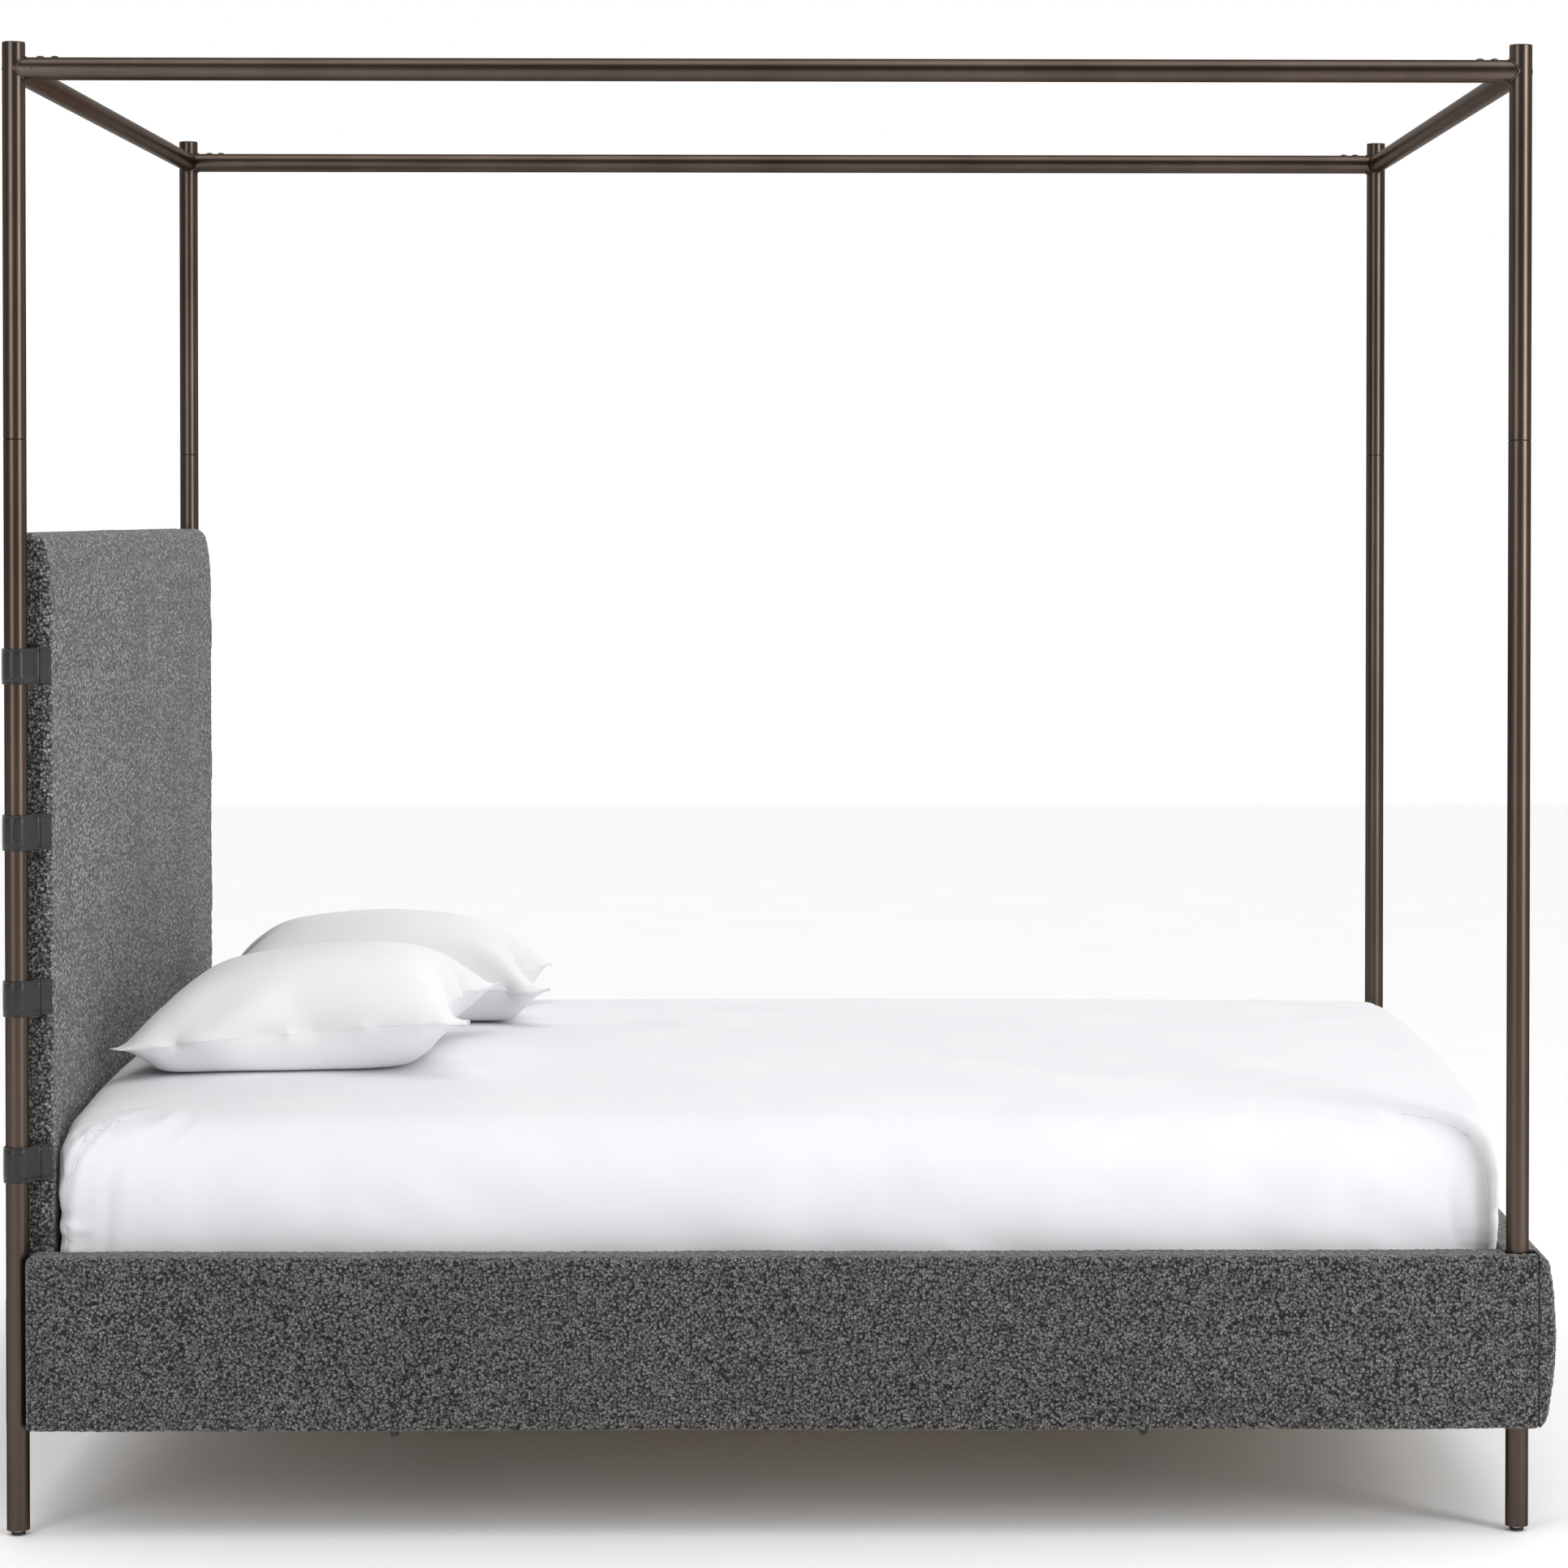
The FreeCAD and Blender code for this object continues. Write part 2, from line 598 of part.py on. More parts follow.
# ---------------------------------------------------------------- headboard
HEADBOARD_BOARD = 18.0
HEADBOARD_ROUNDING = 14.0
BACK_CLOTH = 1.0
CLOTH_MARGIN = 6.0


def headboard_block(inset):
    """The headboard's soft outline with rounded front edges, open at the back by BACK_CLOTH."""
    half = HEADBOARD_HALF_WIDTH - inset
    front = -(HEADBOARD_FRONT + inset)
    block = box(-HEADBOARD_BACK + BACK_CLOTH, front, -half, half,
                HEADBOARD_BOTTOM + inset, HEADBOARD_TOP - inset)
    edges = [e for e in block.Edges if e.BoundBox.XMin > front - 0.1]
    return block.makeFillet(HEADBOARD_ROUNDING - inset, edges)


def headboard_board():
    half = HEADBOARD_HALF_WIDTH - COVER
    back = -HEADBOARD_BACK + BACK_CLOTH
    return box(back, back + HEADBOARD_BOARD, -half, half, HEADBOARD_BOTTOM + COVER, HEADBOARD_TOP - COVER)


def headboard_back_cloth():
    half = HEADBOARD_HALF_WIDTH - CLOTH_MARGIN
    return box(-HEADBOARD_BACK, -HEADBOARD_BACK + BACK_CLOTH, -half, half,
               HEADBOARD_BOTTOM + CLOTH_MARGIN, HEADBOARD_TOP - CLOTH_MARGIN)


# ---------------------------------------------------------------- leather straps
STRAP_CLEAR = 0.15
STITCH_DISTANCE = 30.0       # from the post's centre to where the two layers meet
STRAP_REACH = 50.0
STRAP_END_X = 43.0           # the tail points at the headboard's front corner
STRAP_END_Y = 24.0
STRAP_LAYER_GAP = 0.3        # the pocket between the layers narrows to twice this


def strap(side, z):
    """Leather strip round the head post, its two layers sewn together into a tail."""
    centre = Vector(-POST_X, side * POST_Y, z - STRAP_HEIGHT / 2)
    along = Vector(STRAP_END_X, -side * STRAP_END_Y, 0).normalize()
    across = Vector(-along.y, along.x, 0)
    up = Vector(0, 0, STRAP_HEIGHT)
    inner = TUBE_RADIUS + STRAP_CLEAR
    outer = inner + STRAP_THICKNESS

    def prism(points):
        corners = [centre + along * a + across * b for a, b in points]
        return Part.Face(Part.makePolygon(corners + corners[:1])).extrude(up)

    def wedge(radius, reach, half_tip):
        tangent = math.acos((radius - half_tip) / reach)
        lift = radius * math.sin(tangent)
        start = radius * math.cos(tangent)
        return prism([(start, -lift), (reach, -half_tip), (reach, half_tip), (start, lift), (0, 0)])

    tail = prism([(0, -STRAP_THICKNESS), (STRAP_REACH, -STRAP_THICKNESS),
                  (STRAP_REACH, STRAP_THICKNESS), (0, STRAP_THICKNESS)])
    disc = Part.makeCylinder(outer, STRAP_HEIGHT, centre)
    body = joined([disc, wedge(outer, STITCH_DISTANCE, STRAP_THICKNESS), tail])
    hole = Part.makeCylinder(inner, STRAP_HEIGHT, centre)
    gap = wedge(inner, STITCH_DISTANCE - STRAP_THICKNESS, STRAP_LAYER_GAP)
    return body.cut(joined([hole, gap]))


def straps(side):
    return [strap(side, STRAP_TOP_Z - STRAP_PITCH * index) for index in range(STRAP_COUNT)]


# ---------------------------------------------------------------- bedding
MATTRESS_CORNER = 45.0
SIDE_SAG = 36.0              # how far the top falls from its crown to the long edges


def mattress_shape(grow):
    """Block crowned across its width, with rounded corners; grow swells it for the sheet."""
    head = MATTRESS_HEAD - grow
    foot = MATTRESS_FOOT + grow
    half = MATTRESS_HALF_WIDTH + grow
    top = MATTRESS_CROWN_TOP + grow
    edge = top - SIDE_SAG

    def at(y, z):
        return Vector(head, y, z)

    arc = Part.Arc(at(-half, edge), at(0, top), at(half, edge)).toShape()
    lines = [Part.LineSegment(at(half, edge), at(half, MATTRESS_BOTTOM)).toShape(),
             Part.LineSegment(at(half, MATTRESS_BOTTOM), at(-half, MATTRESS_BOTTOM)).toShape(),
             Part.LineSegment(at(-half, MATTRESS_BOTTOM), at(-half, edge)).toShape()]
    block = Part.Face(Part.Wire([arc] + lines)).extrude(Vector(foot - head, 0, 0))
    corners = edges_along(block, Vector(0, 0, 1), lambda p: True)
    return block.makeFillet(MATTRESS_CORNER + grow, corners)


PILLOW_SEAT = MATTRESS_CROWN_TOP + SHEET + 0.5
PILLOW_TOP = 765.0
PILLOW_SEAM = 0.45           # the edge seam's height, as a share of the pillow's
PILLOW_DIP = 12.0            # how far the lower arc would bulge below the seat
PILLOW_REACH = 1500.0        # further out than any pillow
PILLOWS = {
    "near": ((-972.0, -440.0), (-470.0, 52.0)),
    "far": ((-950.0, -368.0), (58.0, 600.0)),
}


def pillow(x_range, y_range):
    """Plump cushion: an arc-topped and arc-bottomed lens both ways, flat where it rests."""
    seam = PILLOW_SEAT + PILLOW_SEAM * (PILLOW_TOP - PILLOW_SEAT)
    shapes = []
    for (start, end), along_x in ((x_range, True), (y_range, False)):
        middle = (start + end) / 2

        def at(u, z):
            return Vector(u, -PILLOW_REACH, z) if along_x else Vector(-PILLOW_REACH, u, z)

        top = Part.Arc(at(start, seam), at(middle, PILLOW_TOP), at(end, seam)).toShape()
        low = Part.Arc(at(end, seam), at(middle, PILLOW_SEAT - PILLOW_DIP), at(start, seam)).toShape()
        face = Part.Face(Part.Wire([top, low]))
        way = Vector(0, 1, 0) if along_x else Vector(1, 0, 0)
        shapes.append(face.extrude(way * (2 * PILLOW_REACH)))
    lens = shapes[0].common(shapes[1])
    above_mattress = box(-PILLOW_REACH, PILLOW_REACH, -PILLOW_REACH, PILLOW_REACH,
                         PILLOW_SEAT, 2 * PILLOW_TOP)
    return lens.common(above_mattress)


# ---------------------------------------------------------------- write every node
def write_posts():
    corners = []
    for end_name, end in ENDS.items():
        for side_name, side in SIDES.items():
            x = end * POST_X
            y = side * POST_Y
            corners.append((x, y))
            save(f"{end_name}_post_lower_{side_name}", post_lower(x, y))
            save(f"{end_name}_post_upper_{side_name}", post_upper(x, y))
            save(f"leveller_pad_{end_name}_{side_name}", leveller_pad(x, y))
            save(f"leveller_stem_{end_name}_{side_name}", leveller_stem(x, y))
    save("post_joiners", *[post_joiner(x, y) for x, y in corners])
    save("post_caps", *[post_cap(x, y) for x, y in corners])
    save("post_foot_inserts", *[foot_insert(x, y) for x, y in corners])


def write_canopy():
    stubs = []
    screws = []
    pins = []
    for end_name, end in ENDS.items():
        save(f"canopy_{end_name}_rail", canopy_end_rail(end))
        for side in SIDES.values():
            stubs.append(canopy_stub(end, side))
            pins.append(canopy_pin(end, side))
            for offset in SCREW_OFFSETS:
                screws.append(canopy_screw(end * (POST_X - offset), side * POST_Y))
    for side_name, side in SIDES.items():
        save(f"canopy_side_rail_{side_name}", canopy_side_rail(side))
    save("canopy_spigots", *stubs)
    save("canopy_rail_screws", *screws)
    save("canopy_locating_pins", *pins)


def write_side_rails():
    for side_name, side in SIDES.items():
        save(f"side_rail_board_{side_name}", side_rail_board(side))
        save(f"side_rail_panel_{side_name}", side_rail_panel(side))
        save(f"side_rail_padding_{side_name}", side_rail_padding(side))
        save(f"side_rail_cover_{side_name}", side_rail_cover(side))
        save(f"slat_cleat_{side_name}", slat_cleat(side))


def write_footboard():
    save("footboard_board", footboard_board())
    save("footboard_panel", footboard_panel())
    save("footboard_padding", footboard_padding())
    save("footboard_cover", footboard_cover())


def write_fixings():
    plates = []
    bolts = []
    for side in SIDES.values():
        for end in ENDS.values():
            plates.append(drilled(side_plate(end, side), side_bolts(end, side)))
            bolts += side_bolts(end, side)
            ends = foot_bolts(side) if end > 0 else [head_bolt(side)]
            plates.append(drilled(cross_plate(end, side), ends))
            bolts += ends
    save("post_knife_plates", *plates)
    save("rail_bolts", *bolts)


def side_bolts(end, side):
    return [side_bolt(end, side, z) for z in BOLT_HEIGHTS]


def foot_bolts(side):
    return [cross_bolt(1, side, z, FOOT_BOARD_INNER, FOOT_BOARD_OUTER) for z in BOLT_HEIGHTS]


def drilled(plate, bolts):
    """Plate with a clearance hole wherever a bolt passes."""
    for bolt in bolts:
        middle = bolt.BoundBox.Center
        along_bed = bolt.BoundBox.XLength > bolt.BoundBox.YLength
        way = Vector(BOARD, 0, 0) if along_bed else Vector(0, BOARD, 0)
        plate = plate.cut(rod(middle - way, middle + way, BOLT_RADIUS + FIT))
    return plate


def write_support():
    save("head_cross_rail", head_cross_rail())
    save("centre_beam", centre_beam())
    save("slats", *[slat(index) for index in range(SLAT_COUNT)])
    bolts = []
    nuts = []
    for end_name, end in ENDS.items():
        save(f"cross_bar_{end_name}", cross_bar(end * BAR_X))
        for side in SIDES.values():
            bolts.append(hanger_bolt(end * BAR_X, side))
            nuts.append(cap_nut(end * BAR_X, side))
    save("cross_bar_hanger_bolts", *bolts)
    save("cross_bar_cap_nuts", *nuts)


def write_headboard():
    padding = headboard_block(COVER).cut(headboard_board())
    cover = headboard_block(0.0).cut(headboard_block(COVER))
    for side_name, side in SIDES.items():
        bands = straps(side)
        save(f"headboard_straps_{side_name}", *bands)
        for band in bands:
            cover = cover.cut(band)
            padding = padding.cut(band)
    save("headboard_board", headboard_board())
    save("headboard_padding", padding)
    save("headboard_cover", cover)
    save("headboard_back_cloth", headboard_back_cloth())


def write_bedding():
    mattress = mattress_shape(0.0)
    save("mattress", mattress)
    save("fitted_sheet", mattress_shape(SHEET).cut(mattress_shape(0.0)))
    for name, (x_range, y_range) in PILLOWS.items():
        save(f"pillow_{name}", pillow(x_range, y_range))


os.makedirs("parts", exist_ok=True)
write_posts()
write_canopy()
write_side_rails()
write_footboard()
write_fixings()
write_support()
write_headboard()
write_bedding()
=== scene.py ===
import json
import math

import bmesh
import bpy
import numpy as np
from mathutils import Matrix, Vector


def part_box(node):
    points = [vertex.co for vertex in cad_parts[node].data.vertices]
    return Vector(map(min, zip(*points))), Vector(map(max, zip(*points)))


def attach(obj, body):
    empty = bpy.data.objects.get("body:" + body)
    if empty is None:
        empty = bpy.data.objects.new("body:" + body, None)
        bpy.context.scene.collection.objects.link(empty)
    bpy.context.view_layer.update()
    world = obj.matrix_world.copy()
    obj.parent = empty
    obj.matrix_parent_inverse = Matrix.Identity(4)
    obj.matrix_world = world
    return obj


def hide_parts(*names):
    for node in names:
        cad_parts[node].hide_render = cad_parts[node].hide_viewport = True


# The looks of the four poster canopy bed, in metres, in the CAD frame.
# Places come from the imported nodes; only the soft pieces and small trim are made here.

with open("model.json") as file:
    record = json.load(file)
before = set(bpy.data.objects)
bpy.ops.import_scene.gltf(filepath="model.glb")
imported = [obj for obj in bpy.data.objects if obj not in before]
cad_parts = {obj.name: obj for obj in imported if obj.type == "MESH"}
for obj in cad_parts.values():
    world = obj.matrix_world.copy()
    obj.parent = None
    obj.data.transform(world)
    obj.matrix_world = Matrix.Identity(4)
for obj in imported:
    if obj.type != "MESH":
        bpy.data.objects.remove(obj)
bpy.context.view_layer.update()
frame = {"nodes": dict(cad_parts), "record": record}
MM = 0.001


def node_box(name):
    """Lowest and highest corner of a CAD node as two arrays."""
    low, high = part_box(name)
    return np.array(low), np.array(high)


def in_scene(name, data):
    """A new object, linked to the scene."""
    thing = bpy.data.objects.new(name, data)
    bpy.context.scene.collection.objects.link(thing)
    return thing


SIDES = {"near": -1, "far": 1}


# --- camera
CAMERA_PLACE = (0.0786, -6.7518, 1.4252)
CAMERA_YAW = -0.804
CAMERA_PITCH = -1.034
CAMERA_ROLL = -0.021
SENSOR = 36.0
CAMERA_LENS = 98.19
CAMERA_SHIFT = (-0.0716, -0.1245)


def make_camera():
    data = bpy.data.cameras.new("camera")
    data.sensor_width = SENSOR
    data.lens = CAMERA_LENS
    data.shift_x, data.shift_y = CAMERA_SHIFT
    camera = in_scene("camera", data)
    turn = (Matrix.Rotation(math.radians(CAMERA_YAW), 4, "Z")
            @ Matrix.Rotation(math.radians(CAMERA_PITCH), 4, "X")
            @ Matrix.Rotation(math.radians(CAMERA_ROLL), 4, "Y")
            @ Matrix.Rotation(math.radians(90), 4, "X"))
    camera.matrix_world = Matrix.Translation(CAMERA_PLACE) @ turn
    bpy.context.scene.camera = camera


make_camera()


# --- light and floor
def area_light(name, place, aim, size, power):
    data = bpy.data.lights.new(name, "AREA")
    data.shape = "RECTANGLE"
    data.size, data.size_y = size
    data.energy = power
    light = in_scene(name, data)
    light.location = place
    light.rotation_euler = (Vector(aim) - Vector(place)).to_track_quat("-Z", "Y").to_euler()


FRONT_WALL = (0.15, 0.15, 0.155)
FRONT_FLOOR_LINE = (0.1, 0.1, 0.103)


def make_studio():
    """White behind the bed, dimmer in front of it so that the metal keeps its dark tone."""
    world = bpy.data.worlds.new("studio")
    world.use_nodes = True
    tree = world.node_tree
    background = tree.nodes["Background"]
    ways = tree.nodes.new("ShaderNodeTexCoord")
    slope = tree.nodes.new("ShaderNodeVectorMath")
    slope.operation = "DOT_PRODUCT"
    slope.inputs[1].default_value = (0.0, 1.1, 0.75)
    share = tree.nodes.new("ShaderNodeMapRange")
    share.inputs["From Min"].default_value = -0.9
    share.inputs["From Max"].default_value = 0.6
    tone = tree.nodes.new("ShaderNodeValToRGB")
    tree.links.new(ways.outputs["Generated"], slope.inputs[0])
    tree.links.new(slope.outputs["Value"], share.inputs["Value"])
    tree.links.new(share.outputs["Result"], tone.inputs["Fac"])
    tree.links.new(tone.outputs["Color"], background.inputs["Color"])
    middle = tone.color_ramp.elements.new(0.45)
    middle.color = (*FRONT_WALL, 1.0)
    tone.color_ramp.elements[0].color = (*FRONT_FLOOR_LINE, 1.0)
    tone.color_ramp.elements[2].color = (1.0, 1.0, 1.0, 1.0)
    background.inputs["Strength"].default_value = 1.0
    bpy.context.scene.world = world
    area_light("left", place=(-2.7, -4.5, 1.9), aim=(-0.6, -0.4, 0.9), size=(1.6, 2.6), power=58)
    area_light("right", place=(3.9, -3.5, 1.9), aim=(0.5, -0.4, 0.9), size=(1.4, 2.6), power=116)
    data = bpy.data.lights.new("overhead", "SUN")
    data.energy = 0.92
    data.angle = math.radians(50)
    overhead = in_scene("overhead", data)
    overhead.rotation_euler = Vector((-0.15, 0.3, -1.0)).to_track_quat("-Z", "Y").to_euler()
    bpy.context.scene.view_settings.view_transform = "Standard"


make_studio()


# --- material tools
class Finish:
    """One procedural material: adds nodes and links them with short calls."""

    def __init__(self, name, metallic=0.0, roughness=0.5, **sockets):
        self.material = bpy.data.materials.new(name)
        self.material.use_nodes = True
        self.tree = self.material.node_tree
        self.shader = self.tree.nodes["Principled BSDF"]
        self.shader.inputs["Metallic"].default_value = metallic
        self.shader.inputs["Roughness"].default_value = roughness
        for socket, value in sockets.items():
            self.shader.inputs[socket.replace("_", " ")].default_value = value
        self.place = self.add("ShaderNodeTexCoord").outputs["Object"]

    def add(self, kind, settings=None, **inputs):
        node = self.tree.nodes.new(kind)
        for key, value in (settings or {}).items():
            setattr(node, key, value)
        for key, value in inputs.items():
            self.plug(value, node.inputs[key.replace("_", " ")])
        return node

    def plug(self, value, socket):
        if isinstance(value, bpy.types.NodeSocket):
            self.tree.links.new(value, socket)
        elif socket.type == "RGBA":
            socket.default_value = (*value, 1.0)
        else:
            socket.default_value = value

    def math(self, operation, a, b=0.0):
        node = self.add("ShaderNodeMath", {"operation": operation})
        self.plug(a, node.inputs[0])
        self.plug(b, node.inputs[1])
        return node.outputs[0]

    def stretched(self, scale):
        """Object coordinates times a scale for each axis."""
        return self.add("ShaderNodeMapping", Vector=self.place, Scale=scale).outputs[0]

    def noise(self, scale, detail=2.0, rough=0.5, vector=None, output="Fac"):
        return self.add("ShaderNodeTexNoise", Vector=vector or self.place, Scale=scale, Detail=detail,
                        Roughness=rough).outputs[output]

    def cells(self, scale, vector=None, feature="F1", output="Distance"):
        return self.add("ShaderNodeTexVoronoi", {"feature": feature}, Vector=vector or self.place,
                        Scale=scale).outputs[output]

    def wave(self, scale, axis, vector=None, distortion=0.0):
        return self.add("ShaderNodeTexWave", {"bands_direction": axis}, Vector=vector or self.place,
                        Scale=scale, Distortion=distortion).outputs["Fac"]

    def ramp(self, value, *stops):
        """Colour ramp from (position, colour) stops; a single number is a grey."""
        node = self.add("ShaderNodeValToRGB", Fac=value)
        elements = node.color_ramp.elements
        while len(elements) < len(stops):
            elements.new(0.5)
        for element, (position, colour) in zip(elements, stops):
            element.position = position
            if isinstance(colour, (int, float)):
                colour = (colour, colour, colour)
            element.color = (*colour, 1.0)
        return node.outputs["Color"]

    def spread(self, value, low, high):
        """A 0 to 1 value onto the range low to high."""
        return self.add("ShaderNodeMapRange", Value=value, To_Min=low, To_Max=high).outputs["Result"]

    def mix(self, share, a, b, blend="MIX"):
        node = self.add("ShaderNodeMix", {"data_type": "RGBA", "blend_type": blend})
        for index, value in ((0, share), (6, a), (7, b)):
            self.plug(value, node.inputs[index])
        return node.outputs[2]

    def bump(self, height, distance, strength=1.0, below=None):
        node = self.add("ShaderNodeBump", Height=height, Distance=distance, Strength=strength)
        if below is not None:
            self.tree.links.new(below, node.inputs["Normal"])
        return node.outputs["Normal"]

    def done(self, colour, roughness, normal):
        for value, socket in ((colour, "Base Color"), (roughness, "Roughness"), (normal, "Normal")):
            self.plug(value, self.shader.inputs[socket])
        return self.material


# --- metals, plastic and timber
def bronze_lacquer():
    """Satin dark bronze lacquer over steel: cloudy colour, faint runs and fine texture."""
    f = Finish("bronze_lacquer", metallic=1.0, roughness=0.3)
    f.shader.inputs["Specular Tint"].default_value = (0.34, 0.31, 0.29, 1.0)
    clouds = f.noise(9.0, 4.0, 0.6, f.stretched((1.0, 1.0, 0.35)))
    patches = f.noise(60.0, 3.0, 0.6)
    colour = f.ramp(clouds, (0.3, (0.08, 0.061, 0.05)), (0.55, (0.1, 0.077, 0.063)),
                    (0.8, (0.124, 0.096, 0.079)))
    colour = f.mix(f.spread(patches, 0.0, 0.25), colour, (0.062, 0.049, 0.041))
    roughness = f.spread(f.noise(140.0, 3.0, 0.6), 0.31, 0.34)
    texture = f.bump(f.noise(1500.0, 2.0), 0.000004, 0.5)
    return f.done(colour, roughness, f.bump(patches, 0.00004, 0.3, texture))


def plain_metal(name, colour, roughness):
    """Plated or blackened steel with fine scratches."""
    f = Finish(name, metallic=1.0, roughness=roughness)
    scratches = f.noise(500.0, 3.0, 0.7, f.stretched((1.0, 1.0, 0.12)))
    dark = tuple(0.72 * c for c in colour)
    tint = f.ramp(f.noise(160.0, 3.0), (0.35, dark), (0.65, colour))
    return f.done(tint, f.spread(scratches, roughness - 0.08, roughness + 0.12), f.bump(scratches, 0.00003))


def moulded_plastic():
    f = Finish("black_moulded_plastic", roughness=0.55)
    tint = f.ramp(f.noise(90.0, 3.0), (0.35, 0.012), (0.7, 0.024))
    return f.done(tint, f.spread(f.noise(400.0), 0.46, 0.66), f.bump(f.noise(2600.0, 1.0), 0.00004))


def timber(name, light, dark, roughness, grain=(1.2, 16.0, 16.0)):
    """Long grain along X with growth bands, pores and a few darker streaks."""
    f = Finish(name, roughness=roughness)
    along = f.stretched(grain)
    bands = f.wave(1.4, "Z", along, 9.0)
    fibres = f.noise(26.0, 5.0, 0.7, f.stretched((2.0, 60.0, 60.0)))
    colour = f.ramp(bands, (0.15, dark), (0.75, light))
    colour = f.mix(f.spread(fibres, 0.0, 0.45), colour, dark)
    return f.done(colour, f.spread(fibres, roughness - 0.08, roughness + 0.1), f.bump(fibres, 0.0002, 0.5))


# --- fabrics and leather
def boucle(name, loop, dark, middle, light, coarse, stretch=(1.0, 1.0, 1.0)):
    """Looped yarn cloth: round nubs in several greys, fuzzy at a glance, with painted shade darkening the
    hollows between the nubs into a dark ground and a painted highlight on the nub tops.
    """
    f = Finish(name, roughness=0.93, Sheen_Weight=0.35, Sheen_Roughness=0.5, Specular_IOR_Level=0.2)
    f.shader.inputs["Sheen Tint"].default_value = (0.8, 0.79, 0.77, 1.0)
    laid = f.stretched(stretch)
    wobble = f.noise(0.5 / loop, vector=laid, output="Color")
    shift = f.add("ShaderNodeVectorMath", {"operation": "SCALE"}, Scale=loop * coarse)
    f.plug(wobble, shift.inputs[0])
    moved = f.add("ShaderNodeVectorMath", {"operation": "ADD"})
    f.plug(laid, moved.inputs[0])
    f.plug(shift.outputs[0], moved.inputs[1])
    loops = moved.outputs[0]
    nub = f.cells(1.0 / loop, loops)
    small = f.cells(2.3 / loop, loops)
    which = f.cells(1.0 / loop, loops, output="Color")
    shade = f.ramp(f.add("ShaderNodeSeparateColor", Color=which).outputs[0],
                   (0.15, dark), (0.55, middle), (0.93, light))
    which_small = f.cells(2.3 / loop, loops, output="Color")
    fleck = f.ramp(f.add("ShaderNodeSeparateColor", Color=which_small).outputs[1],
                   (0.2, dark), (0.6, middle), (0.95, light))
    colour = f.mix(0.5, shade, fleck)
    yarn = f.noise(2.6 / loop, 4.0, 0.7, laid)
    # Painted shade darkens the hollows between the nubs; a painted highlight lightens the nub tops.
    nub_shade_and_highlight = f.ramp(nub, (0.3, 1.35), (0.72, 0.08))
    strands = f.ramp(yarn, (0.3, 0.62), (0.7, 1.15))
    clouds = f.ramp(f.noise(5.0, 3.0, 0.6), (0.3, 0.9), (0.7, 1.08))
    for tone in (nub_shade_and_highlight, strands, clouds):
        colour = f.mix(1.0, colour, tone, "MULTIPLY")
    fine = f.bump(yarn, 0.12 * loop, 0.8)
    normal = f.bump(f.math("SUBTRACT", 1.0, small), 0.25 * loop, 0.7, fine)
    normal = f.bump(f.math("SUBTRACT", 1.0, nub), 0.45 * loop, 1.0, normal)
    return f.done(colour, f.spread(yarn, 0.86, 0.98), normal)


def cotton(name, tint, shade, thread, crease):
    """Plain woven cotton: fine over-and-under threads with slight slubs."""
    f = Finish(name, roughness=0.88, Sheen_Weight=0.12, Sheen_Roughness=0.4, Specular_IOR_Level=0.25)
    warp, weft, rise = (f.wave(0.31 / thread, axis, distortion=0.6) for axis in "XYZ")
    weave = f.math("MULTIPLY", f.math("ADD", f.math("MULTIPLY", warp, weft), rise), 0.5)
    slub = f.noise(90.0, 3.0, 0.6, f.stretched((0.25, 1.6, 1.0)))
    colour = f.ramp(f.noise(7.0, 3.0, 0.5), (0.3, shade), (0.7, tint))
    colour = f.mix(f.spread(slub, 0.0, 0.08), colour, shade)
    fine = f.bump(weave, 0.00005, 0.6)
    crumple = f.bump(f.noise(26.0, 5.0, 0.65), crease, 0.35, fine)
    return f.done(colour, f.spread(slub, 0.82, 0.94), crumple)


def ticking():
    """Quilted mattress cloth with a diamond stitch pattern."""
    f = Finish("ticking", roughness=0.9, Sheen_Weight=0.15)
    one = f.wave(2.8, "DIAGONAL")
    two = f.wave(2.8, "DIAGONAL", f.stretched((1.0, -1.0, 1.0)))
    quilt = f.math("MULTIPLY", one, two)
    colour = f.ramp(quilt, (0.0, (0.62, 0.61, 0.59)), (0.12, (0.8, 0.8, 0.79)))
    return f.done(colour, f.spread(f.noise(300.0), 0.84, 0.95),
                  f.bump(quilt, 0.004, 0.6, f.bump(f.noise(900.0), 0.0001)))


def nonwoven():
    f = Finish("black_dust_cloth", roughness=0.95)
    fibres = f.noise(220.0, 5.0, 0.75)
    dots = f.cells(260.0)
    tint = f.ramp(fibres, (0.3, 0.012), (0.75, 0.035))
    return f.done(tint, f.spread(fibres, 0.88, 0.98), f.bump(dots, 0.0002, 0.5, f.bump(fibres, 0.0001)))


def hide(name, dark, light, gloss):
    """Smooth leather: fine pebbled grain, soft creases, worn a little at raised spots."""
    f = Finish(name, roughness=gloss, Specular_IOR_Level=0.5)
    pebbles = f.cells(900.0, feature="DISTANCE_TO_EDGE")
    creases = f.noise(70.0, 5.0, 0.65, f.stretched((1.0, 1.0, 2.2)))
    colour = f.ramp(creases, (0.3, dark), (0.75, light))
    roughness = f.spread(creases, gloss - 0.08, gloss + 0.14)
    grain = f.bump(f.ramp(pebbles, (0.0, 0.0), (0.12, 1.0)), 0.00012, 0.6)
    return f.done(colour, roughness, f.bump(creases, 0.0002, 0.5, grain))


